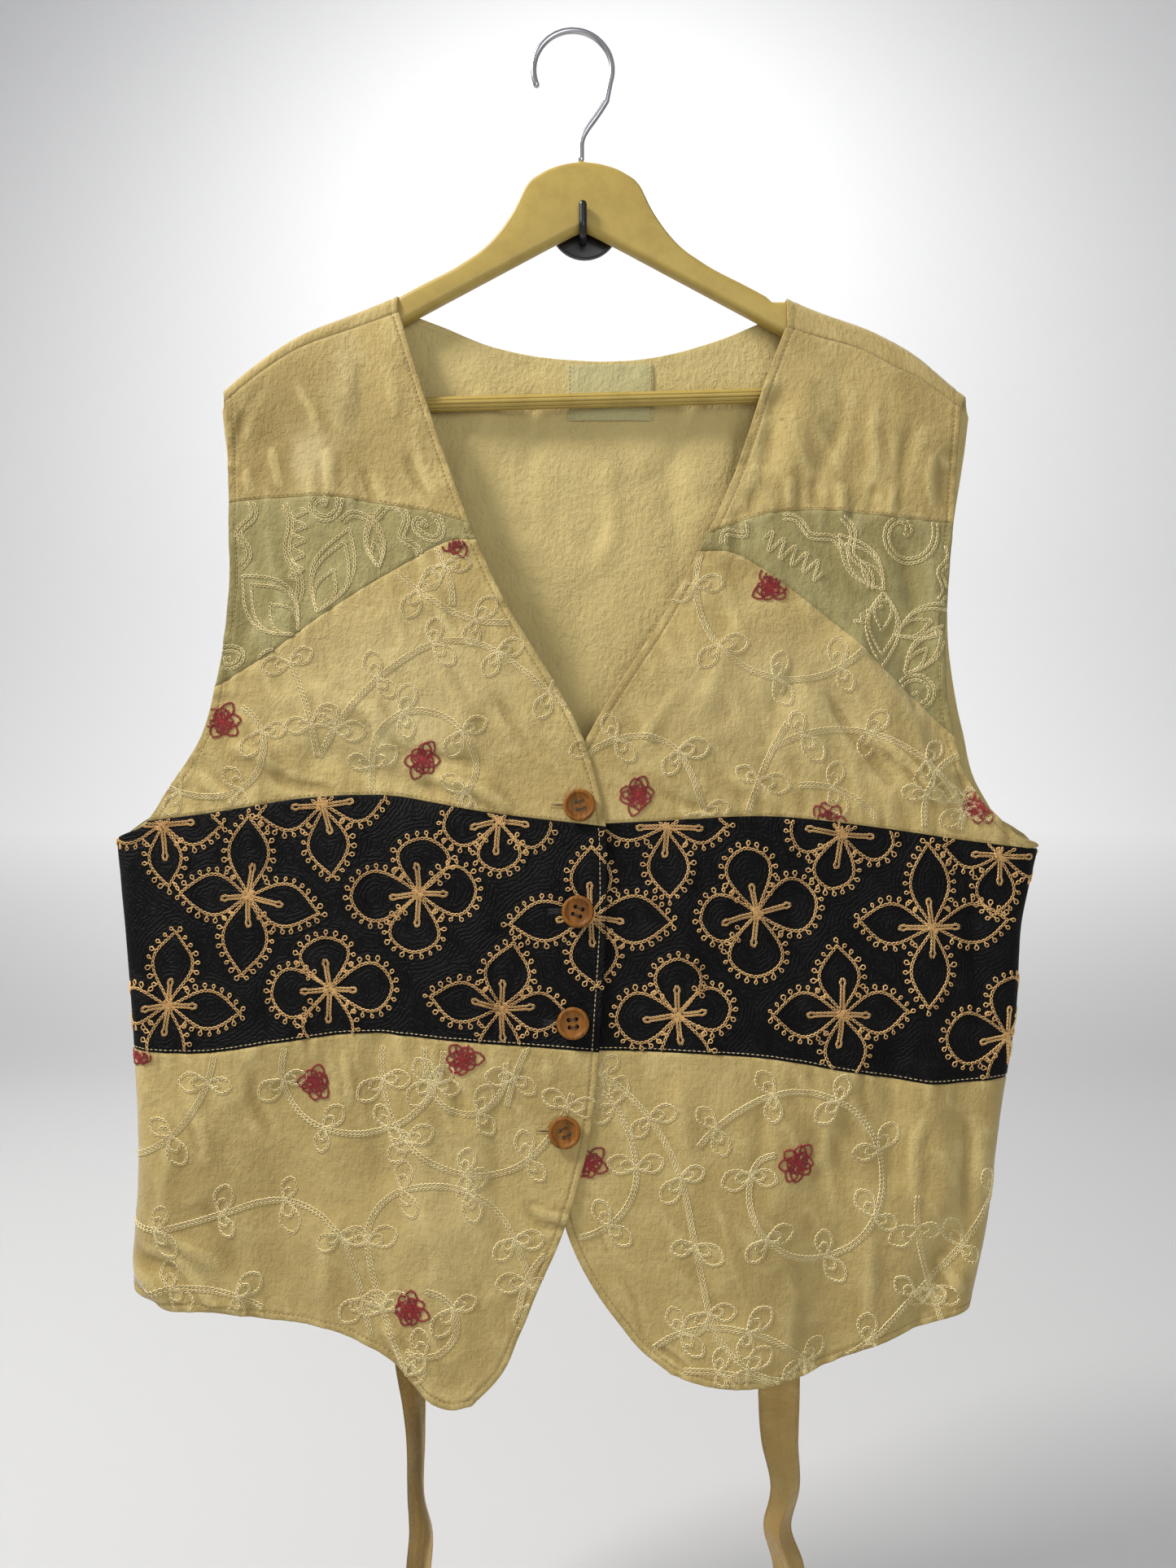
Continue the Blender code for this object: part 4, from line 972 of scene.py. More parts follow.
# %% Shells of cloth
THICK = 1.0
SEAM_DIP = 0.5
SEAM_REACH = 1.5
HEM_ROLL = 0.9
HEM_FOLD = 6.4
HEM_STEP = 1.5
HEM_RISE = 0.25
HEM_ROUND = 0.62
STITCH_IN = 4.4
STITCH_GROOVE = 0.55
SEAM_CLEAR = 0.06
SEAM_INSIDE = 0.22
PLAIN_EDGE, PLAIN_DIP = 0.5, 0.1
THINNEST = 0.12
FAR_OFF = 1e3
CHUNK = 3000
STEPS_IN = {
    "hem": (0, 0.35, 0.9, 2.4, 3.8, 4.4, 5.0, 6.4, 7.9, 9.6),
    "seam": (0, 0.5, 1.1, 2.2, 4.0),
    "plain": (0, 0.3, 1.0),
    "open": (0,),
}


def length_of(line):
    return float(np.hypot(*np.diff(line, axis=0).T).sum())


def spaced(length, start, end, middle):
    """Shares from 0 to 1 along a length: set steps in from both ends, the middle's between."""
    length = np.asarray(length, dtype=float)[..., None]
    first, last = np.array(STEPS_IN[start]), np.array(STEPS_IN[end])[::-1]
    squeeze = np.minimum(1, 0.8 * length / (first[-1] + last[0]))
    first, last = first * squeeze / length, 1 - last * squeeze / length
    between = first[..., -1:] * (1 - middle) + last[..., :1] * middle
    return np.concatenate([first, between, last], axis=-1)


def even(count):
    """Shares of count even steps between two ends."""
    return np.linspace(0, 1, int(count) + 2)[1:-1]


def along(line, share):
    """Places at shares of a line's length."""
    run = np.concatenate([[0], np.cumsum(np.hypot(*np.diff(line, axis=0).T))])
    return np.stack([np.interp(share * run[-1], run, line[:, k]) for k in (0, 1)], axis=-1)


def patch(edges, kinds, pitch, columns=None):
    """Grid of places between four edges, with its rows closer together near them."""
    top, foot, inner, outer = edges
    if columns is None:
        columns = even(max(length_of(top), length_of(foot)) / pitch)
    rows = even(max(length_of(inner), length_of(outer)) / pitch)
    a0 = spaced((length_of(top) + length_of(foot)) / 2, kinds[2], kinds[3], columns)
    b0 = spaced((length_of(inner) + length_of(outer)) / 2, kinds[0], kinds[1], rows)
    a = spaced(length_of(top) * (1 - b0) + length_of(foot) * b0, kinds[2], kinds[3], columns)
    b = spaced(length_of(inner) * (1 - a0) + length_of(outer) * a0, kinds[0], kinds[1], rows).T
    one, two = a[..., None], b[..., None]
    corners = ((1 - one) * (1 - two) * top[0] + one * (1 - two) * top[-1]
               + (1 - one) * two * foot[0] + one * two * foot[-1])
    return ((1 - two) * along(top, a) + two * along(foot, a)
            + (1 - one) * along(inner, b) + one * along(outer, b) - corners)


def distance_from(line, places):
    """Distance of each place from a line of places."""
    start, run = line[:-1], np.diff(line, axis=0)
    square = np.maximum((run ** 2).sum(axis=1), 1e-9)
    found = np.empty(len(places))
    for first in range(0, len(places), CHUNK):
        here = places[first:first + CHUNK, None]
        t = np.clip(((here - start) * run).sum(axis=-1) / square, 0, 1)
        gap = here - start - t[..., None] * run
        found[first:first + CHUNK] = np.sqrt((gap ** 2).sum(axis=-1)).min(axis=1)
    return found


def weld(grids):
    """Places and faces of grids that share their common edges."""
    places, index, quads = [], {}, []
    for grid in grids:
        numbers = np.empty(grid.shape[:2], dtype=int)
        keys = np.round(grid, 3)
        for i in range(grid.shape[0]):
            for j in range(grid.shape[1]):
                key = (keys[i, j, 0], keys[i, j, 1])
                if key not in index:
                    index[key] = len(places)
                    places.append(grid[i, j])
                numbers[i, j] = index[key]
        quad = np.stack([numbers[:-1, :-1], numbers[:-1, 1:], numbers[1:, 1:], numbers[1:, :-1]],
                        axis=-1).reshape(-1, 4)
        quads.append(quad if grid[0, -1, 0] > grid[0, 0, 0] else quad[:, ::-1])
    return np.array(places), np.concatenate(quads)


def edge_shape(kind, away):
    """How an edge changes the outer face and the inner face at a distance from it."""
    if kind == "seam":
        near = 1 - ease(away / SEAM_REACH)
        return -SEAM_DIP * near, SEAM_INSIDE * near
    if kind == "plain":
        near = 1 - ease(away / PLAIN_EDGE)
        return -PLAIN_DIP * near, PLAIN_DIP * near
    t = 1 - np.clip(away / HEM_ROLL, 0, 1)
    rolled = HEM_ROUND * (1 - np.sqrt(1 - t * t))
    folded = HEM_RISE * (1 - ease((away - HEM_FOLD) / HEM_STEP))
    groove = STITCH_GROOVE * np.exp(-((away - STITCH_IN) / 0.6) ** 2)
    return folded - rolled - groove, rolled - folded


def make_mesh(name, points, faces, material):
    """Mesh in metres from points in millimetres, shaded smooth."""
    mesh = bpy.data.meshes.new(name)
    mesh.from_pydata((np.asarray(points) * MM).tolist(), [], np.asarray(faces).tolist())
    mesh.update()
    mesh.materials.append(material)
    mesh.shade_smooth()
    return mesh


def add_piece(mesh, node=None):
    """Puts a piece in the scene, on the one body that everything rides on."""
    piece = bpy.data.objects.new(mesh.name, mesh)
    bpy.context.scene.collection.objects.link(piece)
    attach(piece, "root")
    if node:
        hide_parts(node)
    return piece


def paint(mesh, name, values, kind="FLOAT"):
    """Stores a value at each point for the materials to read."""
    layer = mesh.attributes.new(name, kind, "POINT")
    key = "vector" if kind == "FLOAT_VECTOR" else "value"
    layer.data.foreach_set(key, np.asarray(values, dtype=np.float32).ravel())


def closed_wall(name, outer, inner, quads, material):
    """Mesh of an outer and an inner sheet that a rim joins all round."""
    count = len(outer)
    ends = np.concatenate([quads[:, (k, (k + 1) % 4)] for k in range(4)])
    used = set(map(tuple, ends.tolist()))
    rim = [(b, a, a + count, b + count) for a, b in sorted(used) if (b, a) not in used]
    return make_mesh(name, np.concatenate([outer, inner]),
                     np.concatenate([quads, quads[:, ::-1] + count, np.array(rim)]), material)


def cloth_shell(name, side, face, grids, borders, cloth, node, lift=0.0, thick=THICK):
    """A thin closed wall of creased cloth over grids of places."""
    places, quads = weld(grids)
    height = lift(*places.T) if callable(lift) else np.full(len(places), lift)
    outer_lift, inner_lift = height.copy(), height - thick
    nearest, hem = np.full(len(places), FAR_OFF), np.full(len(places), FAR_OFF)
    for kind, line in borders:
        away = distance_from(line, places)
        outer_change, inner_change = edge_shape(kind, away)
        outer_lift += outer_change
        inner_lift += inner_change
        nearest = np.minimum(nearest, away if kind == "hem" else away + SEAM_REACH)
        if kind == "hem":
            hem = np.minimum(hem, away)
    outer_lift = np.maximum(outer_lift, inner_lift + THINNEST)
    mesh = closed_wall(name, on_cloth(side, face, *places.T, outer_lift),
                       on_cloth(side, face, *places.T, inner_lift),
                       quads[:, ::-1] if face == FRONT else quads, CLOTHS[cloth])
    flat = np.column_stack([places, np.zeros(len(places))])
    paint(mesh, "place", np.tile(flat, (2, 1)), "FLOAT_VECTOR")
    paint(mesh, "edge", np.tile(nearest, 2))
    paint(mesh, "hem", np.tile(hem, 2))
    paint(mesh, "inner", np.repeat((0, 1), len(places)))
    # Hollowness, for the painted shade and painted highlight on the creases
    paint(mesh, "hollow", np.tile(on_cloth(side, face, *places.T, hollow=True), 2))
    return add_piece(mesh, node)


# %% [markdown]
# ## The two fronts
#
# Each panel is its own shell, sewn edge to edge with the next one. Its kinds of edge say what
# happens there: a seam dips into a groove, and a hem is turned in, stitched and rolls over.

# %% Front panels
FRONT_PITCH = {"yoke": 3.1, "inset": 3.1, "chest": 3.0, "band": 2.3, "lower": 3.0}
# Kinds of a panel's top, foot, front edge and outer edge
EDGE_KINDS = {
    "yoke": ("seam", "seam", "hem", "hem"), "inset": ("seam", "seam", "hem", "hem"),
    "chest": ("seam", "seam", "hem", "hem"), "band": ("seam", "seam", "hem", "seam"),
    "lower": ("seam", "hem", "hem", "seam"),
}
PANEL_CLOTH = {"yoke": "tan", "inset": "sage", "chest": "tan", "band": "black", "lower": "tan"}
PIECES = {}


def drawn_back(edges, kinds, side):
    """Edges of a panel with its seam edges drawn back a little from the next panel's."""
    top, foot, inner, outer = (edge.copy() for edge in edges)
    for edge, kind, shift in zip((top, foot), kinds, (-SEAM_CLEAR, SEAM_CLEAR)):
        if kind == "seam":
            edge[:, 1] += shift
    if kinds[3] == "seam":
        outer[:, 0] -= side * SEAM_CLEAR
    inner[0], outer[0], inner[-1], outer[-1] = top[0], top[-1], foot[0], foot[-1]
    return top, foot, inner, outer


def sew_fronts():
    for node, edges in EDGES.items():
        side, panel = SIDE_OF[node], PANEL_OF[node]
        kinds, cloth = EDGE_KINDS[panel], PANEL_CLOTH[panel]
        edges = drawn_back(edges, kinds, side)
        PIECES[node] = cloth_shell(
            f"{node}_cloth", side, FRONT, [patch(edges, kinds, FRONT_PITCH[panel])],
            list(zip(kinds, edges)), cloth, node)
        print(node, len(PIECES[node].data.polygons), "faces")


sew_fronts()

# %% [markdown]
# ## The back
#
# The back is one piece: it runs from the hem up over both shoulders and a little way down the
# front, where a forward shoulder seam joins it to the yokes. Its main patch is drawn between four
# edges like the fronts, and two strips carry it over the hanger's arms.

# %% Back
BACK_PITCH = 3.9
SHOULDER_PITCH = 1.5
NECK_STEPS = (0.35, 0.9, 2.4, 3.8, 5.0, 6.6)
CLOSEST = 0.45
NECK_X = {side: RIDGE[side][INNER[side]][0] for side in SIDES}
BACK_TIP_X, FRONT_TIP_X = ({side: table[side][-1][1] for side in SIDES}
                           for table in (BACK_ARMHOLE, FRONT_ARMHOLE))


def shoulder_start(x):
    return ridge(x) - SHOULDER_CORNER


def back_edges():
    """Top edge through the neck, foot edge along the hem, and both sides of the back."""
    stops = (BACK_TIP_X[RIGHT], NECK_X[RIGHT], NECK_X[LEFT], BACK_TIP_X[LEFT])
    parts = []
    for number, (x0, x1) in enumerate(zip(stops, stops[1:])):
        x = np.linspace(x0, x1, EDGE_POINTS)
        z = smooth(BACK_NECK, x) if number == 1 else shoulder_start(x)
        z[[0, -1]] = shoulder_start(x[[0, -1]])
        parts.append(np.stack([x, z], axis=1)[min(number, 1):])
    top = np.concatenate(parts)
    foot = seam_line(BACK_HEM, *((float(side_seam(side, BACK, HEM_CORNER_Z[side])),
                                  HEM_CORNER_Z[side]) for side in SIDES))
    sides = []
    for side in SIDES:
        end = OUTER[side]
        line = outer_line(side, BACK, BACK_ARMHOLE[side], top[end], foot[end])
        line[line[:, 1] < UNDERARM_Z[side], 0] -= side * SEAM_CLEAR
        foot[end] = line[-1]
        sides.append(line)
    return top, foot, *sides


def back_columns(top):
    """Shares of the middle columns: even ones, the neck's corners and close ones beside them."""
    run = np.concatenate([[0], np.cumsum(np.hypot(*np.diff(top, axis=0).T))])
    first, last = STEPS_IN["hem"][-1], run[-1] - STEPS_IN["hem"][-1]
    corners = {RIGHT: run[EDGE_POINTS - 1], LEFT: run[2 * EDGE_POINTS - 2]}
    wanted = [corners[side] + side * step for side in SIDES for step in (0, *NECK_STEPS)]
    spread = np.arange(first + BACK_PITCH, last - 1, BACK_PITCH)
    clear = np.abs(spread[:, None] - np.array(wanted)).min(axis=1) > BACK_PITCH * CLOSEST
    return (np.sort(np.concatenate([spread[clear], wanted])) - first) / (last - first)


def shoulder_strip(side, row):
    """Grid that carries a row of the back over the shoulder to the forward seam."""
    back_x = row[:, 0]
    share = (back_x - NECK_X[side]) / (BACK_TIP_X[side] - NECK_X[side])
    front_x = NECK_X[side] + share * (FRONT_TIP_X[side] - NECK_X[side])
    total = SHOULDER_ARCH + smooth(SEAM_DROP[side], front_x) - SHOULDER_CORNER - SEAM_CLEAR
    part = spaced(total, "open", "seam", even(float(total.max()) / SHOULDER_PITCH)).T
    x = back_x + (front_x - back_x) * part
    grid = np.stack([x, shoulder_start(x) + total * part], axis=-1)
    grid[0] = row
    return grid[::-1]


BACK_EDGES = back_edges()
back_top, back_foot, *back_sides = BACK_EDGES
neck_line = back_top[EDGE_POINTS - 1:2 * EDGE_POINTS - 1]
main_grid = patch(BACK_EDGES, ("hem",) * 4, BACK_PITCH, back_columns(back_top))
strips = [shoulder_strip(side, main_grid[0][(main_grid[0][:, 0] - NECK_X[side]) * side > -0.01])
          for side in SIDES]
right_strip, left_strip = strips
back_borders = [("hem", np.concatenate([right_strip[:, -1], neck_line, left_strip[::-1, 0]])),
                ("hem", back_foot)]
for side, line, strip in zip(SIDES, back_sides, strips):
    above = line[:, 1] >= UNDERARM_Z[side]
    back_borders += [("hem", np.concatenate([strip[:, OUTER[side]], line[above][1:]])),
                     ("seam", line[~above]), ("seam", strip[0])]
PIECES["back"] = cloth_shell("back_cloth", 0, BACK, [main_grid, *strips], back_borders, "back",
                             "back")
print("back", len(PIECES["back"].data.polygons), "faces")

# %% [markdown]
# ## Neck label
#
# The label is a bare strip of woven tape, caught at its two ends, so its middle stands a little
# away from the back.

# %% Neck label
LABEL_X0, LABEL_X1 = -11.0, 44.0
LABEL_TOP, LABEL_FOOT = -91.5, -127.5
LABEL_PITCH = 1.4
LABEL_THICK = 0.5
LABEL_IN = -THICK - 0.25
LABEL_BOW, LABEL_WAVE = 0.7, 0.25


def label_lift(p, v):
    """The label bows away from the back between its sewn ends and curls a little at its foot."""
    across = (p - LABEL_X0) / (LABEL_X1 - LABEL_X0)
    down = (LABEL_TOP - v) / (LABEL_TOP - LABEL_FOOT)
    bow = 1 - (2 * across - 1) ** 4
    wave = LABEL_WAVE * noise(p, v, 9, 14, 71)
    return LABEL_IN - (LABEL_BOW * (0.4 + 0.6 * down) + wave) * bow


def box_lines(x0, x1, top, foot):
    """The four edges of an upright strip: top, foot, left and right."""
    corners = np.array([(x0, top), (x1, top), (x0, foot), (x1, foot)], dtype=float)
    share = np.linspace(0, 1, 24)[:, None]
    pairs = ((0, 1), (2, 3), (0, 2), (1, 3))
    return [corners[a] * (1 - share) + corners[b] * share for a, b in pairs]


label_lines = box_lines(LABEL_X0, LABEL_X1, LABEL_TOP, LABEL_FOOT)
PIECES["neck_label"] = cloth_shell(
    "neck_label_tape", 0, BACK, [patch(label_lines, ("plain",) * 4, LABEL_PITCH)],
    [("plain", line) for line in label_lines], "label", "neck_label",
    label_lift, LABEL_THICK)
print("label", len(PIECES["neck_label"].data.polygons), "faces")

# %% [markdown]
# ## Waist ties
#
# Each tie is a stitched band sewn to the outside of the back. Where it hangs free it is partly
# folded lengthwise and crumpled from being knotted. A table gives its middle, the width that
# shows and the way it is folded at a few heights, and noise adds the crumple.

# %% Waist ties
TIE_WIDTH = 27.0
TIE_THICK = 0.9
TIE_OUT = 0.35
TIE_FREE_Z = -640.0
TIE_LEAVES = 50.0
TIE_LOWEST_LAID = -632.0
TIE_ROWS = 190
TIE_COLUMNS = 16
TIE_STEPS_IN = (0, 0.3, 1.0, 2.4, 3.4)
TIE_STITCH_IN = 2.4
TIE_GROOVE = 0.16
TIE_ROUND = 0.8
# z, middle x, middle y, visible width, way the fold lies
TIES = {
    RIGHT: ((-905, -104, -9, 13, -1), (-863, -105.5, -9, 16, -1), (-835, -104, -9, 15, -1),
            (-813, -106.5, -11, 11, -1), (-770, -107, -11, 12.5, -1), (-729, -111, -8, 20, -1),
            (-690, -112, -4.5, 26, -1), (-640, -112, -2.9, 27, 0), (-470, -112, -2.9, 27, 0)),
    LEFT: ((-905, 127, -7, 22, 1), (-863, 131, -9, 20, 1), (-839, 124, -10, 18, 1),
           (-813, 129, -9, 19, 1), (-785, 126, -6, 24, 1), (-745, 125, -5, 27, 1),
           (-690, 124, -4, 27, 1), (-640, 123, -2.9, 27, 0), (-470, 122, -2.9, 27, 0)),
}


def tie_point(side, part, z, out=0.0):
    """Point of a tie at a share across it (from -0.5 to 0.5) and a height."""
    rows = TIES[side]
    x, y, width, fold = (smooth([(row[0], row[k]) for row in rows], z) for k in (1, 2, 3, 4))
    lean = np.arccos(np.clip(width / TIE_WIDTH, 0, 1))
    crease = np.sqrt(part ** 2 + 0.03 ** 2)
    away = (crease - 0.25) * TIE_WIDTH * np.sin(lean) * fold
    slant = x + part * TIE_WIDTH * np.cos(lean)
    free = ease((TIE_FREE_Z - z) / TIE_LEAVES)
    crumple = (1.5 * noise(part * TIE_WIDTH, z, 6, 26, 80 + side)
               + 0.7 * noise(part * TIE_WIDTH + z * 0.3, z, 5, 11, 84 + side))
    laid = on_cloth(0, BACK, slant, np.maximum(z, TIE_LOWEST_LAID), TIE_OUT + TIE_THICK / 2)[..., 1]
    hung = y + away + crumple
    return np.stack([slant, laid * (1 - free) + hung * free + out, z], axis=-1)


def add_tie(side):
    """A closed ribbon with rounded long edges and a groove along its stitching."""
    z = np.linspace(TIES[side][-1][0], TIES[side][0][0], TIE_ROWS + 1)
    steps = np.array(TIE_STEPS_IN)
    part = np.concatenate([steps, np.linspace(5, TIE_WIDTH - 5, TIE_COLUMNS),
                           TIE_WIDTH - steps[::-1]])
    from_edge = np.minimum(part, TIE_WIDTH - part)
    half = TIE_THICK / 2 * np.sqrt(1 - (1 - np.clip(from_edge / TIE_ROUND, 0.02, 1)) ** 2)
    half = half - TIE_GROOVE * np.exp(-((from_edge - TIE_STITCH_IN) / 0.5) ** 2)
    grid_part, grid_z = np.meshgrid(part / TIE_WIDTH - 0.5, z)
    faces = [tie_point(side, grid_part, grid_z, way * half).reshape(-1, 3) for way in (-1, 1)]
    wide = len(part)
    first = (np.arange(len(z) - 1)[:, None] * wide + np.arange(wide - 1)).reshape(-1, 1)
    name = f"tie_{SIDE_NAMES[side]}"
    mesh = closed_wall(f"{name}_ribbon", *faces, first + np.array([0, wide, wide + 1, 1]),
                       CLOTHS["tie"])
    places = np.stack([grid_part * TIE_WIDTH + side * 400, grid_z, grid_z * 0], axis=-1)
    paint(mesh, "place", np.tile(places.reshape(-1, 3), (2, 1)), "FLOAT_VECTOR")
    paint(mesh, "edge", np.tile(from_edge, 2 * len(z)))
    PIECES[name] = add_piece(mesh, name)


for side in SIDES:
    add_tie(side)
print("ties:", TIE_WIDTH, "mm wide")

# %% [markdown]
# ## Wood, paint and metal
#
# The hard pieces need less: varnished wood with streaks along its grain, moulded plastic with a
# faint speckle, plated wire and satin black paint. Each is a short node tree on object places.


# %% Hard finishes
GLOSS_SWING = 0.18


def hard_material(name, colour, dark, roughness, speckle, depth, metallic=0.0,
                  stretch=(1.0, 1.0, 1.0), specular=0.5):
    """A hard finish with soft uneven colour, a slightly uneven gloss and a fine bump."""
    material, tree = start_material(name, roughness, metallic, specular=specular)
    place = scaled(tree, add_node(tree, "TexCoord").outputs["Object"], stretch)
    scale, strength = speckle
    spots = cloud(tree, place, scale, 5.0, 0.65)
    colour = tinted(tree, linear(*colour), ramp(tree, spots, 0.38, 0.68), strength, linear(*dark))
    gloss = times(tree, spots, GLOSS_SWING)
    gloss = maths(tree, "ADD", gloss, roughness - GLOSS_SWING / 2)
    fine = cloud(tree, place, scale * 9, 2.0)
    finish_material(tree, base_color=colour, roughness=gloss, normal=bump(tree, fine, depth))
    return material


HARD = {
    "wood": hard_material("varnished_wood", (142, 90, 32), (88, 52, 18), 0.5, (260.0, 0.85),
                          0.00010, stretch=(1.0, 0.4, 0.16), specular=0.2),
    "paint": hard_material("mustard_plastic", (174, 149, 72), (152, 127, 56), 0.46, (60.0, 0.5),
                           0.00006),
    "wire": hard_material("plated_wire", (200, 200, 203), (150, 150, 155), 0.24, (40.0, 0.4),
                          0.00002, metallic=1.0),
    "black": hard_material("satin_black", (22, 22, 24), (12, 12, 13), 0.30, (120.0, 0.5), 0.00003),
}
print("hard finishes:", list(HARD))


# %% Turned and lofted shapes
# A rod's end is rounded at these shares of its radius
ROUND_END = (0.03, 0.15, 0.45)
END_CLEAR = 0.8


def ring_faces(rings, count):
    """Faces between rings of equal counts of points, with flat ends."""
    faces = [tuple(range(count))[::-1]]
    for i in range(rings - 1):
        for j in range(count):
            k = (j + 1) % count
            faces.append((i * count + j, i * count + k, (i + 1) * count + k, (i + 1) * count + j))
    return [*faces, tuple(range((rings - 1) * count, rings * count))]


def round_points(radius, count):
    """Pairs of numbers round a circle."""
    angles = [2 * pi * k / count for k in range(count)]
    return [(radius * cos(angle), radius * sin(angle)) for angle in angles]


def loft(name, rings, material, sharp=40):
    """Solid through rings of points, smooth but for its sharp corners."""
    mesh = bpy.data.meshes.new(name)
    points = [tuple(float(c) * MM for c in point) for ring in rings for point in ring]
    mesh.from_pydata(points, [], ring_faces(len(rings), len(rings[0])))
    work = bmesh.new()
    work.from_mesh(mesh)
    bmesh.ops.recalc_face_normals(work, faces=work.faces)
    work.to_mesh(mesh)
    work.free()
    mesh.materials.append(material)
    mesh.shade_smooth()
    mesh.set_sharp_from_angle(angle=radians(sharp))
    return mesh


def turned(name, outline, segments, material):
    """Turned solid round +Z from an outline of (radius, height)."""
    rings = [[(x, y, height) for x, y in round_points(radius, segments)]
             for radius, height in outline]
    return loft(name, rings, material)


def rod(name, route, radius, material, sides=20, round_ends=True):
    """Round rod along a route in one upright plane."""
    route = [Vector(point) for point in route]
    ahead = [(route[min(k + 1, len(route) - 1)] - route[max(k - 1, 0)]).normalized()
             for k in range(len(route))]
    flat = ahead[0].cross(ahead[len(route) // 2])
    if flat.length < 0.01:
        flat = ahead[0].cross(ahead[-1])
    flat.normalize()
    stations = [(point, way, radius) for point, way in zip(route, ahead)]
    if round_ends:
        start, end = (
            [(route[k] + ahead[k] * (way * radius * back), ahead[k],
              radius * sqrt(1 - (1 - back) ** 2)) for back in ROUND_END[::way]]
            for k, way in ((0, 1), (-1, -1)))
        clear = [k for k, point in enumerate(route)
                 if min((point - route[0]).length, (point - route[-1]).length) > radius * END_CLEAR]
        stations = start + stations[clear[0]:clear[-1] + 1] + end
    rings = []
    for point, way, size in stations:
        across = flat.cross(way)
        rings.append([point + size * (a * across + b * flat) for a, b in round_points(1, sides)])
    return loft(name, rings, material)


# %% [markdown]
# ## Hanger and wall hook
#
# The hanger is two flat rounded arms in one moulding, with a ribbed bar between their ends and a
# bent wire hook. The rounded section is lofted along the arms, the bar is a turned star, and the
# wire is a round rod along a short straight stem and an arc. The wall hook is a turned plate and
# a rod that runs out under the hanger and turns up in front of it.

# %% Hanger
HANGER_MIDDLE_X = -1.0
HANGER_TOP = ((0, 34.8), (13, 32.8), (26, 27.7), (36, 19.5), (43.5, 4.5), (50.5, -6.2),
              (60, -17.5), (75, -28.8), (105, -45))
HANGER_FREE, HANGER_BLEND = 118.0, 14.0
ARM_APEX_Z = -8.9
ARM_APEX_ROUND = 3.0
ARM_SLOPE = 0.535
ARM_CORNER = 4.2
ARM_CORNER_STEPS = 7
ARM_TAPER = 1.2
ARM_SEAT_GAP = 0.5
ARM_END_X = 203.0
ARM_END_ROUND = 3.0
ARM_END_DROP = 6.0
BAR_SEAT_X = 190.0
BAR_Z = {RIGHT: -121.5, LEFT: -111.5}
BAR_RADIUS = 4.7
BAR_GROOVE = 0.7
BAR_RIBS = 10
BAR_POINTS = 80
WIRE_RADIUS = 2.0
HOOK_RADIUS = 25.0
HOOK_CENTRE = (-7.6, 94.5)
HOOK_ARC = (-18, 207)
WIRE_STEM = ((-2.2, 35.1), (-2.2, 42), (-2.0, 48.5), (0.6, 55), (8.2, 65.7), (13.8, 74.5))


def arm_section(x, top, foot, thick, corner):
    """Rounded upright section of an arm at one x."""
    half = thick / 2
    ring = []
    for centre_y, centre_z, start in ((half, top, 0), (-half, top, 90), (-half, foot, 180),
                                      (half, foot, 270)):
        inward_y = -corner if centre_y > 0 else corner
        inward_z = -corner if centre_z == top else corner
        for angle in np.radians(np.linspace(start, start + 90, ARM_CORNER_STEPS)):
            ring.append((x, ARM_MIDDLE_Y + centre_y + inward_y + corner * cos(angle),
                         centre_z + inward_z + corner * sin(angle)))
    return ring


def add_arms():
    """One moulding: sections along the right arm, the middle and the left arm."""
    round_start = ARM_END_X - ARM_END_ROUND
    stations = [*np.arange(0, 60, 1.5), *np.arange(60, BAR_SEAT_X, 4.0), BAR_SEAT_X,
                BAR_SEAT_X + 0.4, *np.linspace(BAR_SEAT_X + 1.5, round_start, 4),
                *(ARM_END_X - ARM_END_ROUND * (1 - sin(a))
                  for a in np.radians((20, 40, 60, 80)))]
    rings = []
    for side in SIDES:
        for away in (stations[::-1] if side == RIGHT else stations[1:]):
            x = HANGER_MIDDLE_X + side * away
            top = float(smooth(HANGER_TOP, away))
            if away >= HANGER_FREE:
                slope = float(ridge(x + 1) - ridge(x - 1)) / 2
                seated = float(ridge(x)) - (WALL + ARM_SEAT_GAP) * hypot(1, slope)
                share = float(ease((away - HANGER_FREE) / HANGER_BLEND))
                line = float(smooth(HANGER_TOP, HANGER_FREE)) * (1 - share) + seated * share
                top = min(seated, line) if share > 0 else seated
            rounded = hypot(away, ARM_APEX_ROUND) - ARM_APEX_ROUND
            foot = max(ARM_APEX_Z - ARM_SLOPE * rounded, BAR_Z[side] + BAR_RADIUS + GAP)
            if away > BAR_SEAT_X:
                foot = BAR_Z[side] - ARM_END_DROP
            t = max(0, (away - ARM_END_X + ARM_END_ROUND) / ARM_END_ROUND)
            shrink = ARM_END_ROUND * (1 - sqrt(1 - t * t))
            thick = ARM_THICK - ARM_TAPER * shrink
            rings.append(arm_section(x, top - shrink, foot + shrink, thick,
                                     min(ARM_CORNER, thick / 2 - 0.1)))
    add_piece(loft("hanger_arms", rings, HARD["paint"]), "hanger_body")


def add_bar():
    """A bar with grooves along it, between the two arms."""
    rings = []
    for side in SIDES:
        ring = []
        for k in range(BAR_POINTS):
            angle = 2 * pi * k / BAR_POINTS
            radius = BAR_RADIUS - BAR_GROOVE * max(0.0, -cos(BAR_RIBS * angle)) ** 3
            ring.append((HANGER_MIDDLE_X + side * (BAR_SEAT_X - GAP),
                         ARM_MIDDLE_Y + radius * cos(angle),
                         BAR_Z[side] + radius * sin(angle)))
        rings.append(ring)
    add_piece(loft("hanger_ribbed_bar", rings, HARD["paint"], 60), "hanger_bar")


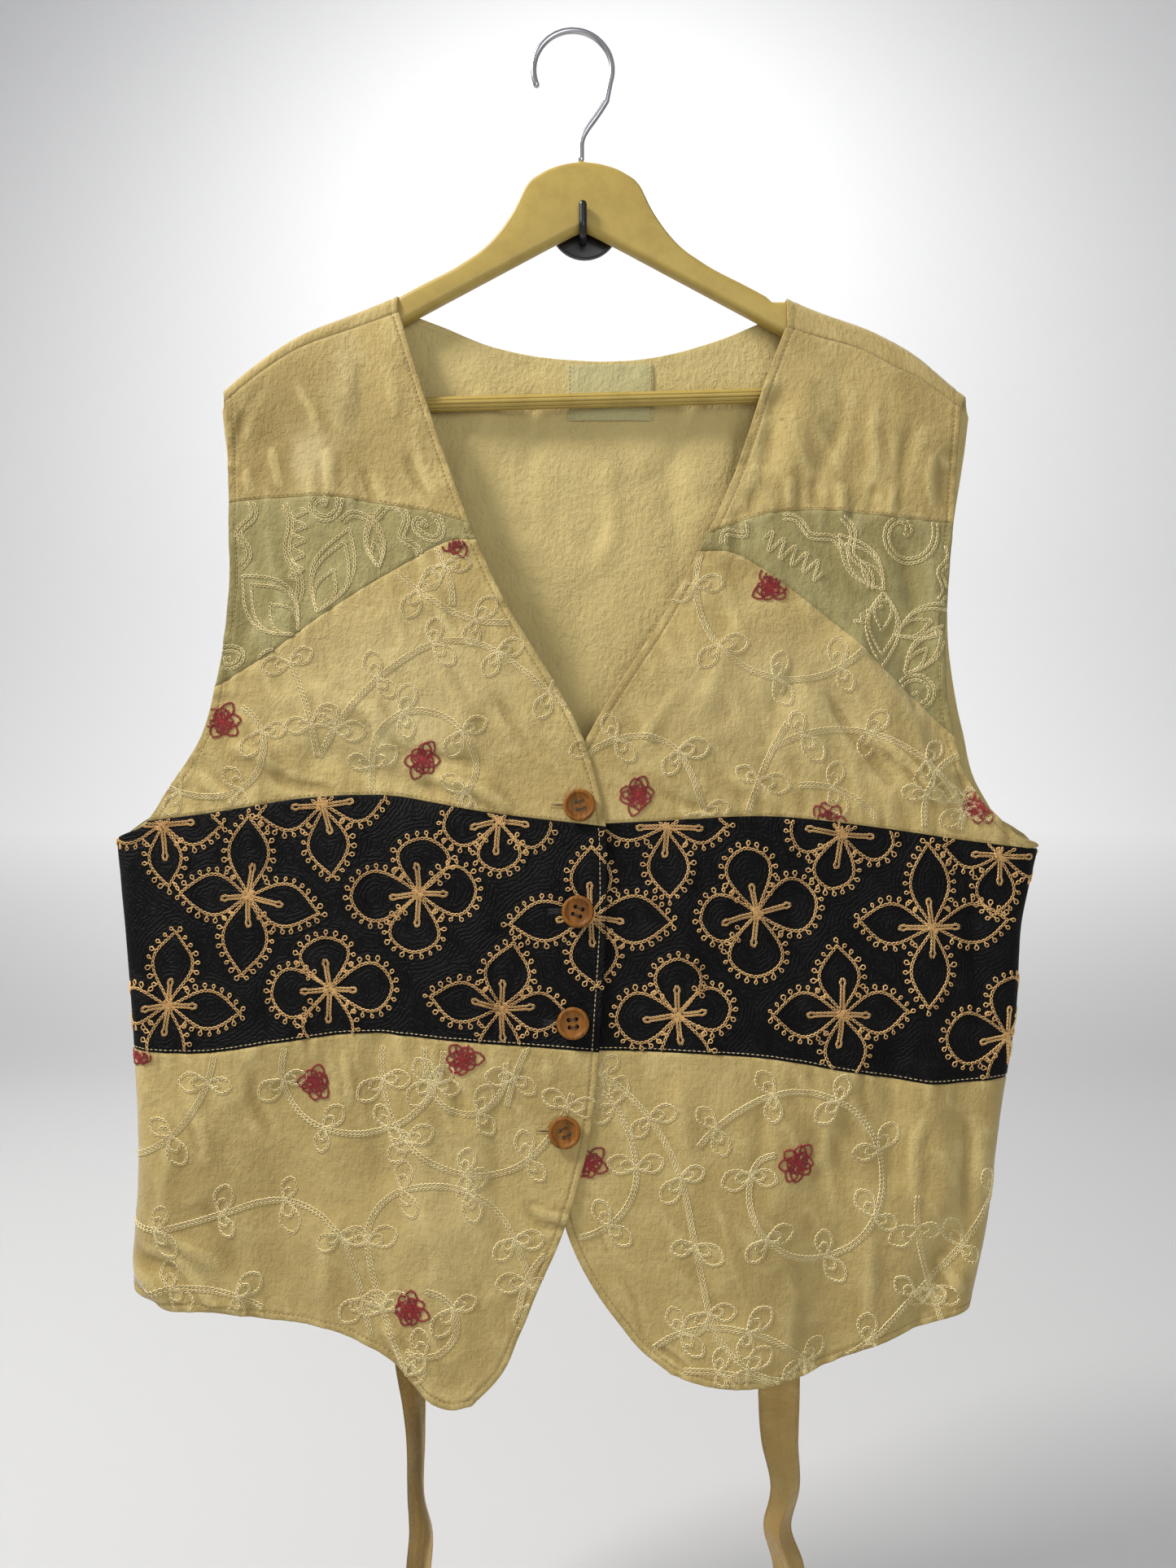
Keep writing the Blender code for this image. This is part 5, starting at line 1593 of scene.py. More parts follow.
def add_wire():
    """A short bent stem and an arc."""
    share = np.linspace(0, len(WIRE_STEM) - 1, 40)
    stem = [smooth(list(enumerate(row)), share) for row in zip(*WIRE_STEM)]
    route = [(x, ARM_MIDDLE_Y, z) for x, z in zip(*stem)]
    for angle in np.radians(np.linspace(*HOOK_ARC, 60)):
        route.append((HOOK_CENTRE[0] + HOOK_RADIUS * cos(angle), ARM_MIDDLE_Y,
                      HOOK_CENTRE[1] + HOOK_RADIUS * sin(angle)))
    add_piece(rod("hanger_wire", route, WIRE_RADIUS, HARD["wire"]), "hanger_hook")


add_arms()
add_bar()
add_wire()

# %% Wall hook
PLATE_RADIUS = 22.5
PLATE_THICK = 4.0
PLATE_EDGE = 1.2
PEG_RADIUS = 2.5
PEG_TIP_Z = 7.0
PEG_BEND = 5.0
PEG_CLEARANCE = 0.8


def add_wall_hook():
    edge = [(PLATE_RADIUS - PLATE_EDGE * (1 - cos(a)),
             PLATE_THICK - PLATE_EDGE * (1 - sin(a))) for a in np.radians((0, 22, 45, 68, 90))]
    outline = [(PLATE_RADIUS - 0.3, 0), (PLATE_RADIUS, 0.3), *edge,
               (PLATE_RADIUS * 0.6, PLATE_THICK)]
    mesh = turned("wall_hook_plate", outline, 96, HARD["black"])
    mesh.transform(Matrix.Rotation(radians(90), 4, "X"))
    add_piece(mesh, "wall_plate")
    x = HANGER_MIDDLE_X
    peg_z = ARM_APEX_Z - (GAP + PEG_RADIUS) * hypot(1, ARM_SLOPE)
    post_y = ARM_MIDDLE_Y - ARM_THICK / 2 - PEG_CLEARANCE - PEG_RADIUS
    start_y = -PLATE_THICK - GAP / 2
    route = [(x, y, peg_z) for y in np.linspace(start_y, post_y + PEG_BEND, 12)]
    for angle in np.radians(np.linspace(0, 90, 14))[1:]:
        route.append((x, post_y + PEG_BEND - PEG_BEND * sin(angle),
                      peg_z + PEG_BEND - PEG_BEND * cos(angle)))
    route += [(x, post_y, z) for z in np.linspace(peg_z + PEG_BEND, PEG_TIP_Z, 20)[1:]]
    add_piece(rod("wall_hook_peg", route, PEG_RADIUS, HARD["black"], 24),
              "wall_peg")


add_wall_hook()
print("hanger and wall hook made")

# %% [markdown]
# ## Buttons
#
# Each button is turned like the real one, with a raised rim and a dished middle. Its holes could
# be dark dots in the paint, but they catch the light from the side, so all four are drilled with
# an exact Boolean. The dark thread goes through them later, as two bars side by side.

# %% Buttons
BUTTON_SEAT = 0.6
BUTTON_HOLE = 1.3
BUTTON_HOLE_OFFSET = 2.3
BUTTON_TURNS = (12, -20, 7, 31)
DRILL_LENGTH = 12.0
BUTTON_OUTLINE = ((6.6, 0.0), (7.6, 0.1), (8.7, 0.45), (9.5, 1.0), (9.95, 1.7), (9.95, 2.2),
                  (9.6, 2.8), (9.0, 3.2), (8.4, 3.3), (7.9, 3.15), (7.5, 2.6), (7.2, 2.1),
                  (6.6, 1.75), (5.0, 1.6), (3.6, 1.5))
BUTTON_FRAMES = []


def drilled(mesh, name):
    """The mesh with four holes through it."""
    blank = bpy.data.objects.new(f"{name}_blank", mesh)
    drill = bmesh.new()
    for across, up in ((-1, -1), (-1, 1), (1, -1), (1, 1)):
        place = Vector((across, up, 0)) * BUTTON_HOLE_OFFSET * MM
        bmesh.ops.create_cone(drill, cap_ends=True, segments=20, radius1=BUTTON_HOLE * MM,
                              radius2=BUTTON_HOLE * MM, depth=DRILL_LENGTH * MM,
                              matrix=Matrix.Translation(place))
    drill_mesh = bpy.data.meshes.new(f"{name}_drill")
    drill.to_mesh(drill_mesh)
    drill.free()
    cutter = bpy.data.objects.new(f"{name}_drill", drill_mesh)
    for helper in (blank, cutter):
        bpy.context.scene.collection.objects.link(helper)
    cut = blank.modifiers.new("Holes", "BOOLEAN")
    cut.operation = "DIFFERENCE"
    cut.solver = "EXACT"
    cut.object = cutter
    bpy.context.view_layer.update()
    graph = bpy.context.evaluated_depsgraph_get()
    result = bpy.data.meshes.new_from_object(blank.evaluated_get(graph))
    for helper in (blank, cutter):
        bpy.data.objects.remove(helper, do_unlink=True)
    return result


def add_buttons():
    for number, ((x, z), turn) in enumerate(zip(BUTTONS, BUTTON_TURNS), start=1):
        name = f"button_{number}"
        seat, ahead = (cloth_point(RIGHT, FRONT, x, z, BUTTON_SEAT + out) for out in (0.0, 1.0))
        normal = Vector(ahead - seat).normalized()
        side = (Vector((1, 0, 0)) - normal * normal.x).normalized()
        upright = Matrix((side, normal.cross(side), normal)).transposed().to_4x4()
        mesh = drilled(turned(name, BUTTON_OUTLINE, 72, HARD["wood"]), name)
        mesh.name = f"{name}_turned"
        mesh.shade_smooth()
        mesh.set_sharp_from_angle(angle=radians(40))
        place = (Matrix.Translation(Vector(seat) * MM) @ upright
                 @ Matrix.Rotation(radians(turn), 4, "Z"))
        mesh.transform(place)
        add_piece(mesh, name)
        BUTTON_FRAMES.append(place)


add_buttons()
print("buttons:", len(BUTTONS))

# %% [markdown]
# ## Stitches
#
# Chain stitch is a row of small loops, each one starting inside the last. One loop is drawn once
# and then laid at thousands of places, each turned along its row and set on the skin. Instances
# could do this, but a plain mesh for each panel keeps the thread with its own piece of cloth.

# %% Stitch tools
# Middle line of each stitch (along, across, up), closed or not, thread radius, sides
STITCH = {
    "chain": (((-0.5, 0, -0.12), (0.05, 0.42, 0), (0.42, 0.28, 0.05), (0.42, -0.28, 0.05),
               (0.05, -0.42, 0)), True, 0.41, 3),
    "picot": (((-0.5, 0, 0), (-0.1, 0.16, 0), (0.2, 0.46, 0), (0.5, 0.24, 0), (0.5, -0.24, 0),
               (0.2, -0.46, 0), (-0.1, -0.16, 0)), True, 0.46, 3),
    "bar": (((-0.5, 0, -0.22), (0, 0, 0.05), (0.5, 0, -0.22)), False, 0.3, 4),
}
# Pitch, length, width
PITCH = {"chain": (2.6, 3.3, 1.6), "picot": (5.7, 4.3, 2.8), "bar": (3.0, 2.2, 1.0)}
BAR_END = 0.55
THREAD_UP = 0.2
CLEAR_OF_EDGE = 1.3
CLEAR_OF_BUTTON = 9.0
UNDER_LAP = 5.0
LOOP_POINTS = 26
ARC_STEP = 2.0
SEWN = {}
hand = np.random.default_rng(7)


def unit(vectors):
    return vectors / np.maximum(np.linalg.norm(vectors, axis=-1, keepdims=True), 1e-9)


def stitch_shape(kind):
    """Middle line, tube offsets and faces of one stitch."""
    core, closed, radius, sides = STITCH[kind]
    core = np.array(core, dtype=float)
    count = len(core)
    ahead = (np.roll(core, -1, 0) - np.roll(core, 1, 0)) if closed else np.gradient(core, axis=0)
    ahead = unit(ahead[:, :2])
    size = np.full((count, 1), radius)
    if not closed:
        size[[0, -1]] *= BAR_END
    angle = np.radians(90 + 360 / sides * np.arange(sides))
    offset = np.stack([-ahead[:, 1:] * np.cos(angle) * size, ahead[:, :1] * np.cos(angle) * size,
                       np.sin(angle) * size], axis=-1)
    faces = [(i * sides + j, i * sides + (j + 1) % sides, (i + 1) % count * sides + (j + 1) % sides,
              (i + 1) % count * sides + j)
             for i in range(count if closed else count - 1) for j in range(sides)]
    if not closed:
        faces += [tuple(range(sides))[::-1], tuple(range((count - 1) * sides, count * sides))]
    return np.repeat(core, sides, axis=0), offset.reshape(-1, 3), np.array(faces)


def stitch_mesh(name, where, kind, rows, thread):
    """All the stitches of one kind as one mesh; where(p, v, out) gives points on the cloth."""
    core, offset, faces = stitch_shape(kind)
    p, v, heading, length, width, out = rows.T
    step_p, step_v = 0.6 * np.cos(heading), 0.6 * np.sin(heading)
    centre = where(p, v, out)
    ahead = unit(where(p + step_p, v + step_v, out) - where(p - step_p, v - step_v, out))
    normal = where(p, v, out + 1) - centre
    normal = unit(normal - (normal * ahead).sum(axis=1, keepdims=True) * ahead)
    across = np.cross(normal, ahead)
    sizes = np.stack([length, width, np.ones(len(rows))], axis=1)
    local = core * sizes[:, None] + offset
    points = (centre[:, None] + local[..., :1] * ahead[:, None]
              + local[..., 1:2] * across[:, None] + local[..., 2:] * normal[:, None])
    shift = np.arange(len(rows))[:, None, None] * len(core)
    return make_mesh(name, points.reshape(-1, 3), (faces + shift).reshape(-1, 4), THREADS[thread])


def stitch_rows(line, kind, size=1.0, out=THREAD_UP):
    """Stitches at even steps along a line of places, each a little uneven."""
    pitch, length, width = PITCH[kind]
    count = max(2, round(length_of(line) / pitch / size ** 0.5))
    share = (np.arange(count) + 0.5) / count
    places = along(line, share)
    run = along(line, np.minimum(share + 0.004, 1)) - along(line, np.maximum(share - 0.004, 0))
    heading = np.arctan2(run[:, 1], run[:, 0]) + hand.uniform(-0.09, 0.09, count)
    length = length * size ** 0.5 * hand.uniform(0.92, 1.08, count)
    width = width * size * hand.uniform(0.88, 1.12, count)
    return np.column_stack([places, heading, length, width, np.full(count, out)])


def inside(outline, places):
    """Whether each place is inside an outline, by counting the edges it would cross."""
    x, z = places[:, :1], places[:, 1:]
    closed = np.concatenate([outline, outline[:1]])
    (x0, z0), (x1, z1) = closed[:-1].T, closed[1:].T
    level = np.where(z1 == z0, 1e-9, z1 - z0)
    hits = ((z0 > z) != (z1 > z)) & (x < x0 + (z - z0) * (x1 - x0) / level)
    return hits.sum(axis=1) % 2 == 1


def keep(node, thread, kind, rows):
    """Files the stitches that lie on a panel and aren't hidden under the overlap."""
    places = rows[:, :2]
    chosen = inside(OUTLINES[node], places)
    chosen[chosen] = distance_from(OUTLINES[node], places[chosen]) > CLEAR_OF_EDGE
    if SIDE_OF[node] == LEFT:
        chosen &= places[:, 0] > smooth(FRONT_EDGE[RIGHT], places[:, 1]) - UNDER_LAP
    for button in BUTTONS:
        chosen &= np.hypot(*(places - button).T) > CLEAR_OF_BUTTON
    SEWN.setdefault((node, thread, kind), []).append(rows[chosen])


def shifted(line, distance):
    """A line moved sideways, to its left above zero."""
    run = unit(np.gradient(line, axis=0))
    return line + distance * np.stack([-run[:, 1], run[:, 0]], axis=1)


def placed(x, z, heading, far, side):
    """Places from how far they lie along a heading and to its left."""
    turn = radians(heading)
    return np.stack([x + far * cos(turn) - side * sin(turn),
                     z + far * sin(turn) + side * cos(turn)], axis=1)


def loop(x, z, heading, length, width, skew, flat):
    """Outline of a petal or leaf from its base round its tip; skew moves its widest part out."""
    t = (1 - np.cos(np.linspace(0, pi, LOOP_POINTS))) / 2
    half = width / 2 * np.sin(pi * t ** skew) ** flat
    return placed(x, z, heading, np.concatenate([t, t[::-1][1:]]) * length,
                  np.concatenate([half, -half[::-1][1:]]))


def arcs(x, z, heading, bends):
    """Line of places through arcs of (length, turn in degrees)."""
    counts = [int(length / ARC_STEP) for length, bend in bends]
    turn = np.repeat([radians(bend) / count for count, (length, bend) in zip(counts, bends)],
                     counts)
    angle = radians(heading) + np.cumsum(turn)
    return np.stack([x + ARC_STEP * np.cumsum(np.cos(angle)),
                     z + ARC_STEP * np.cumsum(np.sin(angle))], axis=1)


print("stitch kinds:", {kind: len(stitch_shape(kind)[2]) for kind in STITCH})

# %% [markdown]
# ## Flowers on the black band
#
# The band repeats two flowers along staggered rows: one with four pointed petals, one with four
# round ones. Petals follow a short formula instead of drawn points. Every outline is one row of
# chain stitch with small picot loops outside it, a stamen of two rows with a looped tip stands
# on each petal, and knots fill the middle. Black filling stitches echo the outlines, so the
# cloth keeps its distance from the nearest outline for its shader.

# %% Band flowers
# Petal length, width, skew, flatness
PETALS = {"P": (49.0, 27.0, 1.12, 1.15), "R": (39.0, 31.0, 1.6, 0.6)}
# First x, step, drop below the band's top, size, flowers in turn
FLOWER_ROWS = ((-264, 105.0, 6.0, 0.86, "PPRPRP"), (-205, 104.5, 58.0, 1.0, "PRPRP"),
               (-261, 105.0, 117.0, 0.94, "PRPRPR"))
PICOTS_FROM = 14.0
PICOT_OUT = 2.6
# Start, end, half width
STAMEN = (3.0, 20.0, 0.9)
KNOTS, KNOTS_REACH = 12, 3.2
# Length, width and rise of a knot
KNOT = (2.6, 1.6, 0.5)
BAND_MIDDLE_X = -3
BAND_OVERLAP = 75
BAND_LINES = []


def stamen_line(x, z, heading):
    """Out along one side of a bent stamen, round its looped tip and back."""
    start, end, half = STAMEN
    end, bend = end * hand.uniform(0.82, 1.08), hand.uniform(-1.6, 1.6)
    out = ((start, half), (end * 0.5, half), (end - 4, half), (end - 2, half * 1.7), (end, half))
    far, off = np.array([*out, *((far, -off) for far, off in out[::-1])]).T
    return placed(x, z, heading, far, off + bend * (far / end) ** 2)


def add_band_flower(x, z, size, kind):
    length, width, skew, flat = PETALS[kind]
    nodes = [f"{SIDE_NAMES[side]}_band" for side in SIDES if side * x > -BAND_OVERLAP]
    tilt = hand.uniform(-7, 7)
    for quarter in range(4):
        heading = tilt + 90 * quarter + hand.uniform(-7, 7)
        grow = size * hand.uniform(0.86, 1.08)
        broad = size * hand.uniform(0.88, 1.08)
        outline = loop(x, z, heading, length * grow, width * broad,
                       skew * hand.uniform(0.92, 1.1), flat)
        stamen = stamen_line(x, z, heading + hand.uniform(-8, 8))
        BAND_LINES.extend([outline, stamen])
        picots = stitch_rows(shifted(outline, PICOT_OUT), "picot")
        picots[:, 2] += pi / 2 + hand.uniform(-0.45, 0.45, len(picots))
        picots[:, 3:5] *= hand.uniform(0.75, 1.1, (len(picots), 1))
        far = np.hypot(picots[:, 0] - x, picots[:, 1] - z)
        for node in nodes:
            keep(node, "gold", "chain", stitch_rows(outline, "chain", 1.05))
            keep(node, "gold", "chain", stitch_rows(stamen, "chain", 0.7))
            keep(node, "gold", "picot", picots[far > PICOTS_FROM])
    knots = hand.uniform(-KNOTS_REACH, KNOTS_REACH, (KNOTS, 2)) + (x, z)
    rows = np.column_stack([knots, hand.uniform(0, 6, KNOTS), np.full((KNOTS, 3), KNOT)])
    for node in nodes:
        keep(node, "gold", "chain", rows)


def fill_band():
    """Flowers along staggered rows that follow the top of the band."""
    for first_x, step_x, drop, size, kinds in FLOWER_ROWS:
        for number, kind in enumerate(kinds):
            x = first_x + number * step_x
            z = float(smooth(BAND_TOP[RIGHT if x < BAND_MIDDLE_X else LEFT], x)) - drop
            add_band_flower(x + hand.uniform(-3, 3), z + hand.uniform(-3, 3), size, kind)


def paint_rows():
    """Stores how far each point of the black cloth is from the nearest outline."""
    outlines = np.concatenate([along(line, np.linspace(0, 1, int(length_of(line) / 0.6)))
                               for line in BAND_LINES])
    tree = kdtree.KDTree(len(outlines))
    for number, point in enumerate(outlines):
        tree.insert((*point, 0.0), number)
    tree.balance()
    for side in SIDES:
        mesh = PIECES[f"{SIDE_NAMES[side]}_band"].data
        places = np.empty(len(mesh.vertices) * 3, dtype=np.float32)
        mesh.attributes["place"].data.foreach_get("vector", places)
        paint(mesh, "row", [tree.find((p, v, 0.0))[2]
                            for p, v, _ in places.reshape(-1, 3).astype(float)])


fill_band()
paint_rows()
print("band outlines:", len(BAND_LINES))

# %% [markdown]
# ## Vines and red flowers
#
# The tan cloth was embroidered before it was cut. Its vines are double rows of cream chain
# stitch that swing in wide curves, with pairs of looped leaves, and curl round small flowers of
# red loops. A vine is a start, a heading and a few arcs, which keeps its curves as smooth as the
# ones a machine sews, and the panel's outline then cuts off what runs past a seam.

# %% Vines and red flowers
# Node: rows of x, z, heading, arcs of length and turn
VINES = {
    "right_chest": (
        (-166, -346, 62, ((45, -12), (52, -22), (52, -62), (60, -12), (50, -42))),
        (-166, -346, 94, ((66, 24),)),
        (-130, -372, 102, ((34, -22), (44, -88), (50, -78), (24, -70))),
        (-215, -312, -24, ((34, -66), (44, -84), (36, -30))),
        (-120, -226, -46, ((48, 18), (36, 34))),
        (-98, -206, -52, ((28, -18), (20, -20))),
    ),
    "left_chest": (
        (73, -216, -112, ((46, 44), (46, 46), (40, 36), (42, 44))),
        (0, -344, 42, ((40, -44), (34, -62), (56, -24))),
        (100, -380, 74, ((42, -10), (20, -6))),
        (114, -340, 34, ((44, -32), (42, -30), (62, -36))),
        (130, -362, 10, ((28, -30), (30, -34))),
        (211, -390, 98, ((26, -20), (30, -62))),
        (233, -392, 84, ((26, -10), (18, -70))),
    ),
    "right_lower": (
        (-229, -524, -94, ((34, -22), (40, -32), (20, -20))),
        (-184, -522, -112, ((30, 40), (30, 52), (40, 34), (36, 40), (30, 34))),
        (-124, -520, -96, ((40, 22), (32, 34), (44, 40), (34, 42), (44, 30))),
        (-98, -520, -92, ((30, 24), (24, 60), (24, 62), (22, 40))),
        (-286, -632, -26, ((34, 40), (46, 6), (42, -42), (40, -50), (46, -6))),
        (-276, -676, 20, ((34, -22), (46, -26))),
        (-102, -740, 106, ((64, 6), (40, -16), (40, -74), (36, -36), (44, -50), (60, -14),
                           (52, -24))),
        (-22, -646, -142, ((24, 30), (20, 20))),
        (-98, -668, 4, ((22, -60), (26, -80), (26, -70))),
        (-34, -520, -118, ((40, 16),)),
    ),
    "left_lower": (
        (-12, -532, -4, ((34, -34), (46, -22), (44, -20), (60, 2), (44, 42), (46, 56), (50, 24),
                         (44, -2), (50, 16), (62, -36))),
        (119, -588, 172, ((22, 78), (32, 48), (42, 58), (42, 62), (46, 44), (44, 52), (46, 46),
                          (50, 30))),
        (205, -612, -96, ((44, 22), (48, 2))),
        (40, -706, 46, ((44, -46), (54, -40), (44, -6))),
        (-6, -638, 4, ((26, 34), (38, 56), (40, 30), (20, 40))),
        (58, -716, 4, ((40, -16), (36, -20))),
    ),
}
# Node: x and z of each red flower
RED_FLOWERS = {
    "right_chest": ((-226, -322), (-100, -346), (-80, -208)),
    "left_chest": ((33, -368), (115, -239), (246, -374), (150, -385)),
    "right_lower": ((-278, -527), (-166, -545), (-74, -529), (-106, -679)),
    "left_lower": ((131, -593), (2, -593)),
}
VINE_GAP = 2.05
FIRST_LEAF, LEAF_STEP = 20.0, 41.0
LEAF = (18.5, 11.5, 1.35, 0.66)
LEAF_TURNS = (62, -82)
INNER_LEAF, INNER_LOOP = 0.52, 0.6
RED_LOOPS = 8
RED_REACH, RED_BROAD = 11.5, 7.6


def add_leaf(node, x, z, heading, size):
    """Two loops of chain stitch, one inside the other, from one base."""
    length, width, skew, flat = LEAF
    for share in (1.0, INNER_LEAF):
        outline = loop(x, z, heading, length * size * share, width * size * share, skew, flat)
        keep(node, "cream", "chain", stitch_rows(outline, "chain"))


def add_vine(node, x, z, heading, bends):
    line = arcs(x, z, heading, bends)
    for off in (-VINE_GAP / 2, VINE_GAP / 2):
        keep(node, "cream", "chain", stitch_rows(shifted(line, off), "chain"))
    total = length_of(line)
    for number, far in enumerate(np.arange(FIRST_LEAF, total, LEAF_STEP)):
        place, ahead = along(line, np.array([far, min(far + 1, total)]) / total)
        way = degrees(atan2(*(ahead - place)[::-1]))
        flip = 1 if number % 2 else -1
        for turn, size in zip(LEAF_TURNS, (1.0, 0.86)):
            add_leaf(node, *place, way + flip * turn + hand.uniform(-14, 14),
                     size * hand.uniform(0.92, 1.08))


def add_red_flower(node, x, z):
    turn = hand.uniform(0, 60)
    for number in range(RED_LOOPS):
        heading = turn + 360 / RED_LOOPS * number + hand.uniform(-13, 13)
        size = RED_REACH * hand.uniform(0.7, 1.15)
        for share in (1.0, INNER_LOOP):
            outline = loop(x, z, heading + hand.uniform(-12, 12), size * share,
                           RED_BROAD * share, 1.3, 0.7)
            keep(node, "red", "chain", stitch_rows(outline, "chain", 0.8, 0.3))


for node, rows in VINES.items():
    for row in rows:
        add_vine(node, *row)
    for place in RED_FLOWERS[node]:
        add_red_flower(node, *place)
print("vines:", sum(len(rows) for rows in VINES.values()))

# %% [markdown]
# ## Abstract motifs on the insets
#
# The sage insets came from another cloth, with large leaves, hooks, zigzags and waves in cream
# stitch. They could be drawn as single curves, but the real ones run in two or three rows side
# by side, so each kind makes its own lines from a place, a heading and a size.

# %% Inset motifs
MOTIF_GAP = 3.1
HOOK_TURNS, ZIGZAG_BENDS, WAVE_BENDS = 1.35, 5, 1.5
# Kind, x, z, heading, length, width
MOTIFS = {
    "right_inset": (
        ("leaf", -166, -254, 70, 56, 26), ("leaf", -178, -268, 134, 52, 32),
        ("zigzag", -178, -188, -92, 46, 8), ("hook", -164, -186, -80, 14, 14),
        ("wave", -212, -184, -96, 40, 8), ("leaf", -128, -226, 100, 34, 12),
        ("wave", -118, -190, -70, 36, 7), ("hook", -100, -200, -40, 18, 12),
        ("wave", -150, -198, 12, 36, 6), ("leaf", -208, -292, 30, 30, 14),
        ("wave", -190, -186, -80, 60, 5), ("hook", -222, -284, 20, 14, 10),
    ),
    "left_inset": (
        ("zigzag", 112, -208, -32, 42, 12), ("leaf", 186, -240, 128, 44, 20),
        ("leaf", 194, -268, 22, 46, 20), ("wave", 88, -212, 40, 26, 8),
        ("leaf", 186, -242, -92, 46, 22), ("hook", 200, -204, -80, 26, 24),
        ("wave", 160, -196, -70, 46, 6), ("hook", 208, -306, 60, 16, 16),
        ("zigzag", 168, -262, 40, 26, 4), ("leaf", 200, -292, 50, 40, 16),
        ("wave", 124, -196, -28, 40, 5), ("wave", 226, -212, -100, 34, 5),
    ),
}


def motif_lines(kind, x, z, heading, length, width):
    if kind == "leaf":
        return [loop(x, z, heading, length * share, width * share, 0.95, 1.0)
                for share in (1, 0.84, 0.5)]
    t = np.linspace(0, 1, 60)
    if kind == "hook":
        angle = 2 * pi * HOOK_TURNS * t
        line = placed(x, z, heading, length * t * np.cos(angle), width * t * np.sin(angle))
    else:
        swing = np.sin(2 * pi * (ZIGZAG_BENDS if kind == "zigzag" else WAVE_BENDS) * t)
        swing = np.arcsin(0.8 * swing) / 0.93 if kind == "zigzag" else swing
        line = placed(x, z, heading, length * t, width / 2 * swing)
    return [line] if kind == "zigzag" else [line, shifted(line, MOTIF_GAP)]


for node, rows in MOTIFS.items():
    for row in rows:
        for line in motif_lines(*row):
            keep(node, "cream", "chain", stitch_rows(line, "chain", 1.1))
print("inset motifs:", sum(len(rows) for rows in MOTIFS.values()))

# %% [markdown]
# ## Topstitching and buttonholes
#
# Rows of short bars hold the turned edges 4.4 mm in and lie close beside some seams. On the band
# the sewing thread is light, so its rows show. A buttonhole is a slit edged with close bars: the
# slit is a thin dark bar of painted shade, and one end of it shows beside its button.

# %% Topstitching
SEAM_STITCH_IN = 1.9
# Panel: thread along its top, foot, front edge and outer edge
TOPSTITCH = {
    "yoke": (None, "tan", "tan", "tan"), "inset": (None, None, "tan", "tan"),
    "chest": (None, "tan", "tan", "tan"), "band": (None, "light", "light", None),
    "lower": (None, "tan", "tan", None),
}
BAR_UP = 0.1
SLIT_FROM, SLIT_TO = -17.0, -9.0
SLIT_BARS = 11
# Half height, way along, length and width of the bars beside a slit, and how far they stand up
SLIT_HALF, SLIT_BAR = 1.0, (1.57, 1.9, 1.0, 0.15)
CHEST_FOOT_Z, BAND_FOOT_Z = -385, -530
LABEL_STITCH_IN = 1.5
TIE_STITCH_TOP_Z = -480


def inward(line, outline, distance):
    """The line moved into the outline."""
    moved = shifted(line, distance)
    middle = moved[len(moved) // 2][None]
    return moved if inside(outline, middle)[0] else shifted(line, -distance)


def topstitch_panels():
    for node, edges in EDGES.items():
        panel = PANEL_OF[node]
        for edge, kind, thread in zip(edges, EDGE_KINDS[panel], TOPSTITCH[panel]):
            if thread:
                row = inward(edge, OUTLINES[node], STITCH_IN if kind == "hem" else SEAM_STITCH_IN)
                keep(node, thread, "bar", stitch_rows(row, "bar", 1.0, BAR_UP))


def add_buttonholes():
    for x, z in BUTTONS:
        panel = "chest" if z > CHEST_FOOT_Z else "lower" if z < BAND_FOOT_Z else "band"
        # The slit is a thin dark bar in the button thread's colour: painted shade where the cloth
        # is cut open
        slit = np.array([(x + (SLIT_FROM + SLIT_TO) / 2, z, 0, SLIT_TO - SLIT_FROM, 1, 0.05)])
        SEWN.setdefault((f"right_{panel}", "brown", "bar"), []).append(slit)
        bars_x = x + np.linspace(SLIT_FROM - 0.6, SLIT_TO, SLIT_BARS)
        for off in (-SLIT_HALF, SLIT_HALF):
            bars = np.array([(bar_x, z + off, *SLIT_BAR) for bar_x in bars_x])
            thread = "black" if panel == "band" else "tan"
            SEWN.setdefault((f"right_{panel}", thread, "bar"), []).append(bars)


topstitch_panels()
add_buttonholes()

# %% Stitches into meshes
WITH_PIECES = {node: [] for node in PIECES}


def sew(node, name, where, kind, rows, thread):
    """One mesh of stitches that goes with the cloth of a node."""
    mesh = stitch_mesh(name, where, kind, np.concatenate(rows), thread)
    WITH_PIECES[node].append(add_piece(mesh))


def bar_rows(line, size=1.0, out=BAR_UP):
    return stitch_rows(line, "bar", size, out)


def sew_panels():
    for (node, thread, kind), rows in SEWN.items():
        if sum(map(len, rows)):
            sew(node, f"{node}_{thread}_{kind}",
                lambda p, v, out: on_cloth(SIDE_OF[node], FRONT, p, v, out), kind, rows, thread)


